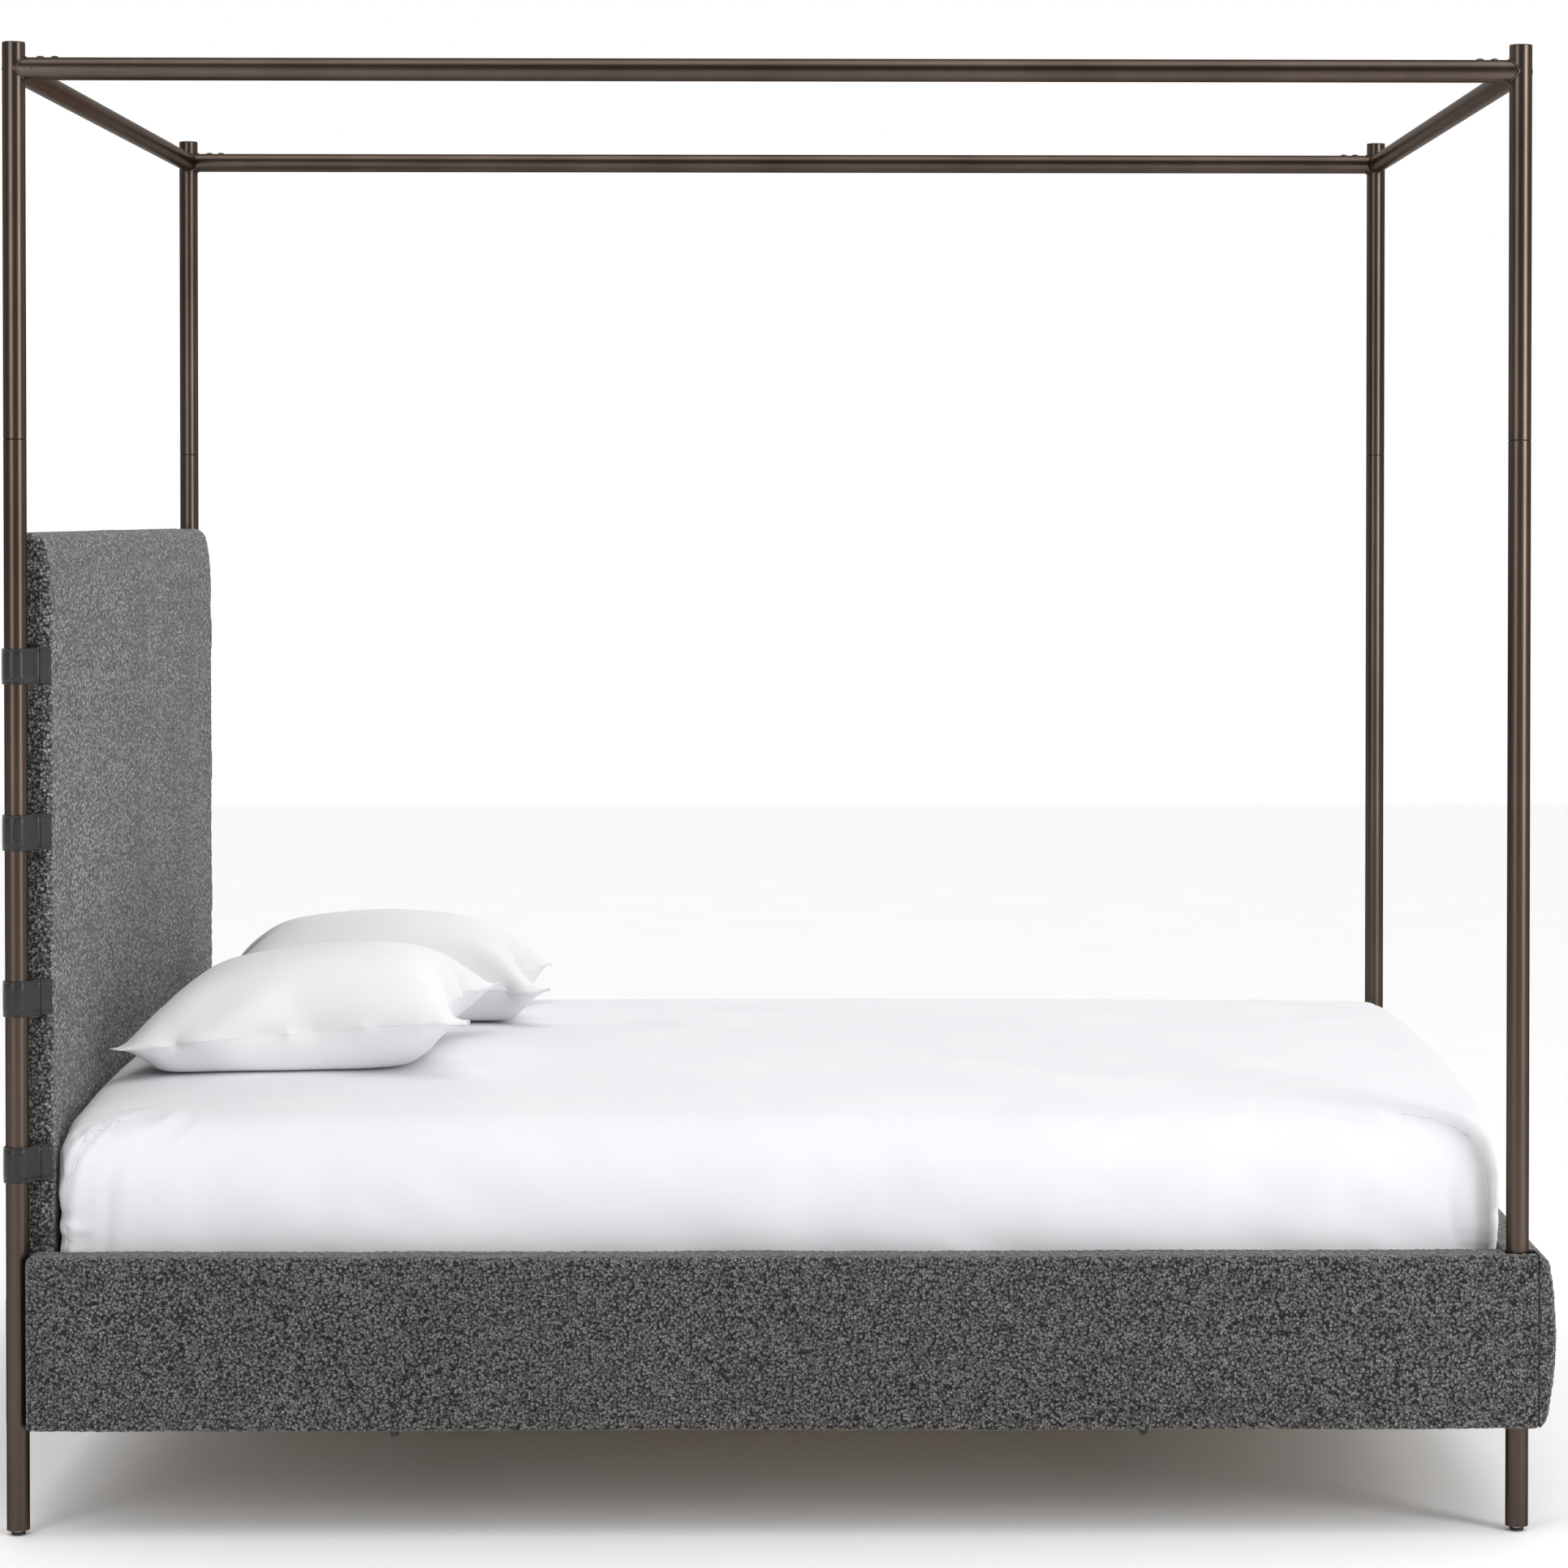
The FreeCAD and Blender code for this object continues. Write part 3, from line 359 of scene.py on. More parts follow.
FINISHES = {
    "bronze_steel": bronze_lacquer(),
    "zinc_steel": plain_metal("zinc_plated_steel", (0.62, 0.62, 0.6), 0.34),
    "black_hardware": plain_metal("black_oxide_steel", (0.075, 0.068, 0.062), 0.4),
    "black_plastic": moulded_plastic(),
    "strap_leather": hide("strap_leather", (0.005, 0.0042, 0.0036), (0.012, 0.0098, 0.0085), 0.2),
    "headboard_boucle": boucle("headboard_boucle", 0.0042, (0.025, 0.024, 0.024), (0.15, 0.143, 0.14),
                               (0.38, 0.362, 0.348), 0.4, (1.0, 0.45, 1.0)),
    "rail_boucle": boucle("rail_boucle", 0.0038, (0.045, 0.044, 0.045), (0.12, 0.117, 0.115),
                          (0.26, 0.25, 0.235), 0.5),
    "backing_cloth": nonwoven(),
    "painted_timber": timber("dark_stained_timber", (0.06, 0.052, 0.045), (0.03, 0.026, 0.023), 0.55),
    "plywood": timber("birch_plywood", (0.6, 0.46, 0.3), (0.47, 0.34, 0.21), 0.6),
    "pine_timber": timber("planed_pine", (0.68, 0.52, 0.33), (0.5, 0.34, 0.19), 0.58),
    "mattress_ticking": ticking(),
    "sheet_cotton": cotton("sheet_cotton", (0.80, 0.795, 0.82), (0.765, 0.76, 0.79), 0.0009, 0.0006),
    "pillow_cotton": cotton("pillow_cotton", (0.84, 0.835, 0.85), (0.80, 0.795, 0.81), 0.0008, 0.0008),
}
THREAD = hide("waxed_thread", (0.003, 0.0028, 0.0026), (0.008, 0.0075, 0.007), 0.8)
ELASTIC = cotton("sheet_elastic", (0.82, 0.82, 0.83), (0.7, 0.7, 0.72), 0.0012, 0.002)


# --- mesh tools
def new_object(name, vertices, faces, slot=None, material=None, smooth=True):
    mesh = bpy.data.meshes.new(name)
    mesh.from_pydata([tuple(v) for v in vertices], [], [tuple(int(i) for i in f) for f in faces])
    mesh.validate()
    mesh.update()
    mesh.materials.append(material or FINISHES[slot])
    mesh.polygons.foreach_set("use_smooth", [smooth] * len(mesh.polygons))
    piece = in_scene(name, mesh)
    return piece


def grid_faces(rows, columns, closed=False):
    """Quads over rows of points; closed joins each row's last point to its first."""
    faces = []
    last = columns if closed else columns - 1
    for i in range(rows - 1):
        for j in range(last):
            k = (j + 1) % columns
            a = i * columns
            b = a + columns
            faces.append((a + j, a + k, b + k, b + j))
    return faces


def swept(rings, closed=False):
    """Vertices and faces of a tube through rings of equally many points: closed on itself, or capped."""
    count = len(rings[0])
    vertices = np.concatenate(rings)
    last = len(vertices) - count
    faces = grid_faces(len(rings), count, closed=True)
    if closed:
        faces += [(last + j, last + (j + 1) % count, (j + 1) % count, j) for j in range(count)]
    else:
        faces += [tuple(range(count))[::-1], tuple(range(last, len(vertices)))]
    return vertices, faces


def tube_along(points, radius, sides=8, closed=False):
    """A round tube along points, for welts, seams and thread."""
    points = np.asarray(points, float)
    if closed:
        ahead, behind = np.roll(points, -1, 0), np.roll(points, 1, 0)
    else:
        ahead = np.vstack([points[1:], points[-1:]])
        behind = np.vstack([points[:1], points[:-1]])
    along = ahead - behind
    along /= np.linalg.norm(along, axis=1)[:, None] + 1e-12
    across = np.cross(along, (0.31, 0.17, 0.93))
    across /= np.linalg.norm(across, axis=1)[:, None] + 1e-12
    third = np.cross(along, across)
    angles = np.arange(sides) * 2 * math.pi / sides
    rings = (points[:, None] + radius * (np.cos(angles)[None, :, None] * across[:, None]
                                         + np.sin(angles)[None, :, None] * third[:, None]))
    return swept(rings, closed)


def merged(parts):
    """Several (vertices, faces) as one."""
    vertices, faces, start = [], [], 0
    for v, f in parts:
        vertices.append(np.asarray(v, float))
        faces += [tuple(i + start for i in face) for face in f]
        start += len(v)
    return np.concatenate(vertices), faces


def hashed(cells, seed):
    """The same random number from 0 to 1 for each whole-number cell."""
    n = cells.astype(np.int64)
    h = (n[..., 0] * 73856093) ^ (n[..., 1] * 19349663) ^ (n[..., 2] * 83492791) ^ (seed * 2654435761)
    h = (h ^ (h >> 13)) * 1274126177
    return ((h ^ (h >> 16)) & 0xFFFFFF) / float(0xFFFFFF)


def nub_height(points, size, seed=1):
    """How high looped yarn stands at each point, 0 to 1: one round nub in each jittered cell."""
    scaled = points / size
    cell = np.floor(scaled)
    best = np.full(len(points), 9.0)
    for dx in (-1, 0, 1):
        for dy in (-1, 0, 1):
            for dz in (-1, 0, 1):
                here = cell + (dx, dy, dz)
                centre = here + 0.5 + 0.75 * (np.stack([hashed(here, seed + k) for k in range(3)], -1) - 0.5)
                gap = np.linalg.norm(scaled - centre, axis=1)
                gap *= 0.8 + 0.45 * hashed(here, seed + 9)
                best = np.minimum(best, gap)
    return np.clip(1.0 - best, 0.0, 1.0)


def ripple(x, y, scale, seed, octaves=3):
    """Smooth value noise in two dimensions, about -1 to 1."""
    total = np.zeros(np.broadcast(x, y).shape)
    for octave in range(octaves):
        u = np.asarray(x) / scale * 2 ** octave
        v = np.asarray(y) / scale * 2 ** octave
        i, j = np.floor(u), np.floor(v)
        s, t = u - i, v - j
        s, t = s * s * (3 - 2 * s), t * t * (3 - 2 * t)
        corner = [[hashed(np.stack([i + a, j + b, 0 * i], -1), seed + octave) for b in (0, 1)]
                  for a in (0, 1)]
        low = corner[0][0] * (1 - s) + corner[1][0] * s
        high = corner[0][1] * (1 - s) + corner[1][1] * s
        total += (2 * (low * (1 - t) + high * t) - 1) / 2 ** octave
    return total


def outward_normals(vertices, faces):
    """Area-weighted vertex normals of a quad mesh."""
    f = np.array([face for face in faces if len(face) == 4])
    a, b, c, d = (vertices[f[:, k]] for k in range(4))
    n = np.cross(c - a, d - b)
    total = np.zeros_like(vertices)
    for k in range(4):
        np.add.at(total, f[:, k], n)
    return total / (np.linalg.norm(total, axis=1)[:, None] + 1e-12)


def relaxed(points, faces, rounds, held):
    """Points moved towards the middle of their neighbours in some rounds; the held ones stay."""
    links = np.array([pair for f in faces if len(f) == 4 for pair in zip(f, f[1:] + f[:1])])
    links = np.concatenate([links, links[:, ::-1]])
    count = np.bincount(links[:, 0], minlength=len(points))[:, None] + 1e-9
    for _ in range(rounds):
        total = np.stack([np.bincount(links[:, 0], points[links[:, 1], k], len(points)) for k in range(3)], 1)
        moved = 0.5 * points + 0.5 * total / count
        moved[held] = points[held]
        points = moved
    return points


# --- CAD nodes that stay
def dress_cad_nodes():
    slots = {row["node"]: row["material_slot"] for row in frame["record"]["subparts"]}
    for name, node in frame["nodes"].items():
        finish = FINISHES.get(slots.get(name))
        if finish is None:
            continue
        if not node.material_slots:
            node.data.materials.append(finish)
        for slot in node.material_slots:
            slot.material = finish


dress_cad_nodes()


# --- padded frame parts
RETURN_HEIGHT = 0.355        # the cover is turned over the inner edge down to here
SHADOW_GAP = 0.0005          # the covers stop this far behind the bare board's face
TOP_LAP = 0.007              # how far the cover comes down inside, beyond the end of a board
HAIR = 0.0001                # clearance between surfaces that would otherwise share a plane
RAIL_NUB = 0.0060
RAIL_NUB_HEIGHT = 0.0028


def rounded_path(corners, spacing):
    """Points about evenly spaced along straight runs between corners (a, b, radius)."""
    path = []
    for index, (a, b, radius) in enumerate(corners):
        here = np.array((a, b))
        if radius == 0 or index in (0, len(corners) - 1):
            path.append(here)
            continue
        before = np.array(corners[index - 1][:2]) - here
        after = np.array(corners[index + 1][:2]) - here
        before /= np.linalg.norm(before)
        after /= np.linalg.norm(after)
        start, end = here + before * radius, here + after * radius
        centre = here + (before + after) * radius
        for share in np.linspace(0, 1, 9):
            point = start * (1 - share) + end * share - centre
            path.append(centre + point / np.linalg.norm(point) * radius)
    path = np.array(path)
    run = np.concatenate([[0], np.cumsum(np.linalg.norm(np.diff(path, axis=0), axis=1))])
    places = np.linspace(0, run[-1], max(2, int(round(run[-1] / spacing)) + 1))
    return np.stack([np.interp(places, run, path[:, k]) for k in range(2)], 1)


def side_normals(loop):
    """Outward normals of a closed loop of plane points that runs clockwise."""
    ahead = np.roll(loop, -1, 0) - np.roll(loop, 1, 0)
    out = np.stack([-ahead[:, 1], ahead[:, 0]], 1)
    return out / (np.linalg.norm(out, axis=1)[:, None] + 1e-12)


def upholstery(name, loop, fine, places, shape, nub, lift, slot, end_roll, seed):
    """A padded bar: a section loop carried along places, with looped yarn raised on its first fine points.

    shape(along, base, normals) returns one section's points in the frame, and the ways they are raised.
    """
    rings = []
    low, high = places[0], places[-1]
    normals = side_normals(loop)
    mask = (np.arange(len(loop)) < fine).astype(float)
    for along in places:
        to_end = min(along - low, high - along)
        tuck = end_roll * max(0.0, 1.0 - to_end / (1.6 * end_roll)) ** 2
        base = loop - normals * (mask * (0.55 * lift + tuck))[:, None]
        points, directions = shape(along, base, normals)
        slow = 0.0009 * ripple(points[:, 0] + points[:, 1], points[:, 2], 0.16, seed) * mask
        wool = nub_height(points, nub, seed) ** 0.7 * lift * mask
        rings.append(points + directions * (slow + wool)[:, None])
    vertices, faces = swept(rings)
    piece = new_object(name, vertices, faces, slot)
    cleaned(piece, 0.00004)
    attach(piece, "bed_frame")
    return piece


def cleaned(piece, weld=0.0):
    """Turns the piece's faces outward, after joining points closer together than weld."""
    work = bmesh.new()
    work.from_mesh(piece.data)
    if weld:
        bmesh.ops.remove_doubles(work, verts=work.verts, dist=weld)
    bmesh.ops.recalc_face_normals(work, faces=work.faces)
    work.to_mesh(piece.data)
    work.free()
    piece.data.update()


def board_return(inner, board_inner, board_bottom):
    """The hidden run of a section, along the bare board's face."""
    behind = board_inner + SHADOW_GAP
    return np.array([(inner, board_bottom), (behind, board_bottom), (behind, RETURN_HEIGHT)])


def past_board(base, normals, face, top):
    """A section beyond its board's end: all of it outside the board's face, and flat where it meets it."""
    base = base.copy()
    lap = top - TOP_LAP
    inside = (base[:, 0] < face) & (base[:, 1] > RETURN_HEIGHT - 0.002) & (base[:, 1] < lap)
    base[inside, 1] = lap
    base[:, 0] = np.maximum(base[:, 0], face)
    return base, np.where(base[:, :1] <= face, 0.0, normals)


def side_rail_upholstery(side):
    sign = SIDES[side]
    low, high = node_box(f"side_rail_cover_{side}")
    board_low, board_high = node_box(f"side_rail_board_{side}")
    inner, outer = sorted((abs(low[1]), abs(high[1])))
    board_inner, board_outer = sorted((abs(board_low[1]), abs(board_high[1])))
    bottom, top = low[2], high[2]
    pocket = board_high[0]
    past_post = board_outer + HAIR
    visible = rounded_path([(inner, RETURN_HEIGHT, 0), (inner, top, 0.004), (outer, top, 0.010),
                            (outer, bottom, 0.004), (inner, bottom, 0)], 0.0029)
    loop = np.concatenate([visible, board_return(inner, board_inner, board_low[2])])
    places = np.concatenate([np.linspace(low[0], pocket - HAIR, 705),
                             np.linspace(pocket + HAIR, high[0] - 2 * HAIR, 16)])

    def shape(along, base, normals):
        if along > pocket:
            base, normals = past_board(base, normals, past_post, top)
        points = np.stack([np.full(len(base), along), sign * base[:, 0], base[:, 1]], 1)
        return points, np.stack([np.zeros(len(base)), sign * normals[:, 0], normals[:, 1]], 1)

    piece = upholstery(f"side_rail_upholstery_{side}", loop, len(visible), places, shape,
                       RAIL_NUB, RAIL_NUB_HEIGHT, "rail_boucle", 0.0048, 11 if sign < 0 else 23)
    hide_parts(f"side_rail_cover_{side}", f"side_rail_padding_{side}")


def arc_through(a, b, c, count):
    """Points of the circle arc from a through b to c."""
    a, b, c = (np.array(p) for p in (a, b, c))
    d = 2 * (a[0] * (b[1] - c[1]) + b[0] * (c[1] - a[1]) + c[0] * (a[1] - b[1]))
    ux = ((a @ a) * (b[1] - c[1]) + (b @ b) * (c[1] - a[1]) + (c @ c) * (a[1] - b[1])) / d
    uy = ((a @ a) * (c[0] - b[0]) + (b @ b) * (a[0] - c[0]) + (c @ c) * (b[0] - a[0])) / d
    centre = np.array((ux, uy))
    start = math.atan2(*(a - centre)[::-1])
    end = math.atan2(*(c - centre)[::-1])
    if abs(end - start) > math.pi:
        end += 2 * math.pi * (1 if end < start else -1)
    angles = np.linspace(start, end, count)
    return centre + np.linalg.norm(a - centre) * np.stack([np.cos(angles), np.sin(angles)], 1)


def footboard_upholstery():
    low, high = node_box("footboard_cover")
    board_low, board_high = node_box("footboard_board")
    inner, crest = low[0], high[0]
    bottom, top = low[2], high[2]
    board_inner, seam = board_low[0], board_high[0]
    pocket = board_high[1] + HAIR
    past_rail = seam + HAIR
    middle = (bottom + top) / 2
    shoulder = (crest - 0.0075, top - 0.020)
    hip = (crest - 0.0095, bottom + 0.0295)
    turn = [arc_through((seam, top), (seam + 0.0105, top - 0.0055), shoulder, 9),
            arc_through(shoulder, (crest, middle + 0.016), hip, 60),
            arc_through(hip, (seam + 0.0100, bottom + 0.0110), (seam + 0.0030, bottom), 9)]
    over_edge = [(inner, RETURN_HEIGHT), (inner, top - 0.003), (inner + 0.001, top - 0.001),
                 (inner + 0.003, top)]
    dense = np.concatenate([over_edge, *turn, [(inner, bottom)]])
    visible = rounded_path([(a, b, 0) for a, b in dense], 0.0031)
    loop = np.concatenate([visible, board_return(inner, board_inner, board_low[2])])
    ends = np.linspace(pocket + HAIR, high[1] - 2 * HAIR, 20)
    places = np.concatenate([-ends[::-1], np.linspace(-pocket + HAIR, pocket - HAIR, 520), ends])

    def shape(along, base, normals):
        if abs(along) > pocket:
            base, normals = past_board(base, normals, past_rail, top)
        points = np.stack([base[:, 0], np.full(len(base), along), base[:, 1]], 1)
        return points, np.stack([normals[:, 0], np.zeros(len(base)), normals[:, 1]], 1)

    piece = upholstery("footboard_upholstery", loop, len(visible), places, shape,
                       RAIL_NUB, RAIL_NUB_HEIGHT, "rail_boucle", 0.0052, 37)
    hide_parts("footboard_cover", "footboard_padding")
    return seam, bottom, top, high[1], pocket


def footboard_seams(seam, bottom, top, outer_face, pocket):
    """Stitching down in the grooves where the footboard's cover meets the side rails' covers, in near-black
    thread that is also painted shade for the grooves' dark line.
    """
    depth, radius = 0.0046, 0.0014
    threads = []
    for side in (-1, 1):
        outer = outer_face - depth
        path = [(seam, side * outer, height) for height in np.linspace(bottom + 0.005, top - depth, 60)]
        path += [(seam, side * y, top - depth) for y in np.linspace(outer - 0.001, pocket + 0.014, 8)]
        threads.append(tube_along(np.array(path), radius, 6))
    vertices, faces = merged(threads)
    # The near-black thread material here is partly real stitching and partly painted shade that fills the
    # seam grooves.
    stitching = new_object("footboard_seam_stitching_painted_shade", vertices, faces, "rail_boucle", THREAD)
    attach(stitching, "bed_frame")


def outline(u, v, low, high, half, radius):
    """Rounded rectangle points for places u, v on the edge of the square from -1 to 1."""
    centre, reach = (low + high) / 2, (high - low) / 2
    x, y = u * reach, v * half
    cx, cy = np.sign(x) * (reach - radius), np.sign(y) * (half - radius)
    dx, dy = x - cx, y - cy
    corner = (np.abs(x) > reach - radius) & (np.abs(y) > half - radius)
    length = np.hypot(dx, dy) + 1e-12
    x = np.where(corner, cx + dx / length * radius, x)
    y = np.where(corner, cy + dy / length * radius, y)
    return centre + x, y


def edge_order(columns, rows):
    """Indices of a grid's boundary, once round."""
    order = [(i, 0) for i in range(columns)] + [(columns - 1, j) for j in range(1, rows)]
    order += [(i, rows - 1) for i in range(columns - 2, -1, -1)] + [(0, j) for j in range(rows - 2, 0, -1)]
    return order


def loops_joined(first, count, rings):
    """Quads between a first list of vertex indices and following rings that start at count."""
    faces = []
    before = list(first)
    size = len(before)
    for ring in range(rings):
        after = [count + ring * size + k for k in range(size)]
        for k in range(size):
            m = (k + 1) % size
            faces.append((before[k], after[k], after[m], before[m]))
        before = after
    return faces


ROLL_BACK, ROLL_HEIGHT = 0.020, 0.105   # how far back, over what height, the headboard's front rolls
HEADBOARD_NUB = 0.0085
HEADBOARD_NUB_HEIGHT = 0.0022


def headboard_upholstery():
    low, high = node_box("headboard_cover")
    back, front = low[0] - HAIR, high[0]
    half, bottom, top = high[1], low[2], high[2]
    radius = 0.014
    middle = (bottom + top) / 2
    reach = (top - bottom) / 2
    columns, rows = 226, 326
    s = np.linspace(-1, 1, columns)
    t = np.linspace(-1, 1, rows)
    grid_z, grid_y = np.meshgrid(s, t, indexing="ij")
    flat = np.stack([np.full(grid_z.size, front), (grid_y * (half - radius)).ravel(),
                     (middle + grid_z * (reach - radius)).ravel()], 1)
    vertices = [flat]
    faces = [tuple(reversed(f)) for f in grid_faces(columns, rows)]
    order = edge_order(columns, rows)
    first = [i * rows + j for i, j in order]
    u = np.array([s[i] for i, _ in order])
    v = np.array([t[j] for _, j in order])
    rings = [(radius * (1 - math.sin(a)), radius * (1 - math.cos(a)), 0.012 * math.sin(a))
             for a in np.radians((15, 32, 50, 68, 90))]
    rings += [(0.0, depth, 0.012) for depth in np.linspace(radius, front - back, 12)[1:]]
    for inset, depth, corner in rings:
        z, y = outline(u, v, middle - reach + inset, middle + reach - inset, half - inset, corner + 0.0005)
        vertices.append(np.stack([np.full(len(z), front - depth), y, z], 1))
    faces += loops_joined(first, len(flat), len(rings))
    points = np.concatenate(vertices)
    last = len(points) - len(order)
    faces.append(tuple(range(last, len(points))))
    normals = outward_normals(points, faces)
    if normals[len(flat) // 2, 0] < 0:
        normals = -normals
    wool = nub_height(points, HEADBOARD_NUB, 5) ** 0.8 * HEADBOARD_NUB_HEIGHT
    slow = 0.0012 * ripple(points[:, 1], points[:, 2], 0.22, 3)
    quiet = np.clip((points[:, 0] - back) / 0.01, 0, 1)
    points = points + normals * ((wool + slow - 0.0020) * quiet)[:, None]
    climb = np.clip((points[:, 2] - (top - ROLL_HEIGHT)) / ROLL_HEIGHT, 0, 1)
    fall = ROLL_BACK * (1 - np.sqrt(1 - climb ** 2 * 0.98))
    points[:, 0] -= fall * (points[:, 0] - back) / (front - back)
    piece = new_object("headboard_upholstery", points, faces, "headboard_boucle")
    cleaned(piece, 0.00002)
    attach(piece, "bed_frame")
    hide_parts("headboard_cover", "headboard_padding")


for SIDE in SIDES:
    side_rail_upholstery(SIDE)
footboard_seams(*footboard_upholstery())
headboard_upholstery()


# --- leather straps
STRAP_THICKNESS = 0.0030
STRAP_HEIGHT = 0.050
STRAP_MEET = 0.030           # from the post's axis to where the two layers meet
STRAP_REACH = {"near": 0.050, "far": 0.0455}
STITCHES = 9
STITCH_PITCH = 0.0052
THREAD_RADIUS = 0.0008


def strap_path(post_radius, reach):
    """Centre line of a strip that starts at the tail's tip, goes round the post and comes back."""
    meet = STRAP_MEET
    radius = post_radius + 0.00015 + STRAP_THICKNESS / 2
    layer = STRAP_THICKNESS / 2 + HAIR
    angle = math.acos((radius - layer) / meet)
    arc = np.linspace(angle, 2 * math.pi - angle, 40)
    turn = [(radius * math.cos(a), radius * math.sin(a)) for a in arc]
    tail = [(d, layer) for d in np.linspace(reach, meet + 0.003, 8)]
    back = [(a, -b) for a, b in reversed(tail)]
    return np.array(tail + [(meet - 0.002, layer * 1.15)] + turn + [(meet - 0.002, -layer * 1.15)] + back)


def strap_section():
    """Rounded strip section as (along its thickness, along its height), creased beside each edge."""
    height, thickness = STRAP_HEIGHT, STRAP_THICKNESS
    creases = ((0.0022, -0.0002), (0.0030, 0.0006), (0.0040, 0.0), (0.0110, -0.0002))
    radius = thickness * 0.42
    points = []
    for cx, cz, start in ((1, 1, 0), (-1, 1, 90), (-1, -1, 180), (1, -1, 270)):
        turn = [(cx * (thickness / 2 - radius) + radius * math.cos(a),
                 cz * (height / 2 - radius) + radius * math.sin(a))
                for a in np.radians(np.linspace(start, start + 90, 5))]
        crease = [(cx * (thickness / 2 - depth), cz * (height / 2 - back)) for back, depth in creases]
        points += crease[::-1] + turn if cx * cz > 0 else turn + crease
    return np.array(points)


def leather_strap(sign, post, z, reach):
    """One strap, and the thread on it: a rim beside each edge and a row of stitches on each face."""
    post_x, post_y, post_radius = post
    along = np.array((43.0, -sign * 24.0))
    along /= np.linalg.norm(along)
    across = np.array((-along[1], along[0]))

    def in_frame(flat, heights):
        plan = flat[:, :1] * along + flat[:, 1:] * across
        return np.column_stack([post_x + plan[:, 0], post_y + plan[:, 1], heights])

    path = strap_path(post_radius, reach)
    ahead = np.gradient(path, axis=0)
    ahead /= np.linalg.norm(ahead, axis=1)[:, None]
    side = np.stack([-ahead[:, 1], ahead[:, 0]], 1)
    section = strap_section()
    rings = [in_frame(point + section[:, :1] * out, z + section[:, 1]) for point, out in zip(path, side)]
    thread = []
    for edge in (-1, 1):
        heights = np.full(len(path), z + edge * (STRAP_HEIGHT / 2 - 2 * THREAD_RADIUS))
        thread.append(tube_along(in_frame(path + side * STRAP_THICKNESS / 2, heights), THREAD_RADIUS, 6))
    rise = np.array((0.0, 0.45, 0.6, 0.6, 0.45, 0.0)) * MM
    for face in (1, -1):
        for k in range(STITCHES):
            bottom = z + (k - STITCHES // 2 - 0.36) * STITCH_PITCH
            heights = np.linspace(bottom, bottom + 0.72 * STITCH_PITCH, len(rise))
            flat = np.column_stack([np.full(len(rise), STRAP_MEET + 0.0035), face * (STRAP_THICKNESS + rise)])
            thread.append(tube_along(in_frame(flat, heights), THREAD_RADIUS, 6))
    return swept(rings), thread


def all_straps():
    for side, sign in SIDES.items():
        low, high = node_box(f"head_post_lower_{side}")
        post = ((low[0] + high[0]) / 2, (low[1] + high[1]) / 2, (high[0] - low[0]) / 2)
        strap_low, strap_high = node_box(f"headboard_straps_{side}")
        first = strap_high[2] - STRAP_HEIGHT / 2
        pitch = (first - strap_low[2] - STRAP_HEIGHT / 2) / 3
        leather, thread = [], []
        for k in range(4):
            body, stitches = leather_strap(sign, post, first - k * pitch, STRAP_REACH[side])
            leather.append(body)
            thread += stitches
        leather_faces = sum(len(part[1]) for part in leather)
        vertices, faces = merged(leather + thread)
        piece = new_object(f"headboard_leather_straps_{side}", vertices, faces, "strap_leather")
        piece.data.materials.append(THREAD)
        for polygon in piece.data.polygons[leather_faces:]:
            polygon.material_index = 1
        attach(piece, "bed_frame")
        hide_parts(f"headboard_straps_{side}")


all_straps()


# --- weld beads
BEAD_RADIUS = 0.0017


def weld_bead(centre, radius, direction, seed):
    """Bead along the saddle where a tube meets a post of the same radius; direction is the tube's."""
    angles = np.arange(72) * 2 * math.pi / 72
    out = radius * np.sqrt(np.sin(angles) ** 2 + 0.09)
    side = radius * np.cos(angles)
    up = radius * np.sin(angles)
    along = np.array(direction, float)
    across = np.array((-along[1], along[0], 0.0))
    line = centre + out[:, None] * along + side[:, None] * across + up[:, None] * np.array((0, 0, 1.0))
    waver = [ripple(angles * 9, angles * 0 + k, 1.0, seed + k, 1) for k in range(3)]
    line += 0.0002 * np.stack(waver, 1)
    return tube_along(line, BEAD_RADIUS, closed=True)


def weld_beads():
    parts = []
    for end in ("head", "foot"):
        for side, sign in SIDES.items():
            low, high = node_box(f"{end}_post_upper_{side}")
            rail_low, rail_high = node_box(f"canopy_{end}_rail")
            centre = (low + high) / 2
            radius = (high[0] - low[0]) / 2
            centre[2] = (rail_low[2] + rail_high[2]) / 2
            inward = 1 if end == "head" else -1
            parts.append(weld_bead(centre, radius, (0, -sign, 0), 3))
            parts.append(weld_bead(centre, radius, (inward, 0, 0), 8))
    vertices, faces = merged(parts)
    piece = new_object("canopy_weld_beads", vertices, faces, "bronze_steel")
    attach(piece, "bed_frame")


weld_beads()


# --- bedding
(HEAD_X, _, UNDER_Z), (FOOT_X, HALF_Y, CROWN_Z) = node_box("mattress")
BED_CORNER = 0.032
PILLOW_END = -0.37           # the sheet lies flat from the head to here, for the pillows
SEAM_RADIUS = 0.0010
SEAM_STAND = 0.0004          # how far a sewn seam's middle stands off the cloth
SHEET_TUCKS = (0.014, 0.022, 0.032, 0.044, 0.056, 0.068, 0.080)
BOXINESS = 0.62              # 1 gives a round roll over the edges, less a squarer one


def crown(x, y):
    """Height of the mattress top, before its edges roll over."""
    across = np.clip(np.abs(y) / HALF_Y, 0, 1)
    along = np.clip(np.abs(x - (HEAD_X + FOOT_X) / 2) / ((FOOT_X - HEAD_X) / 2), 0, 1)
    return CROWN_Z - 0.030 * across ** 2.4 - 0.0047 * along ** 3 - 0.002 * (across * along) ** 3


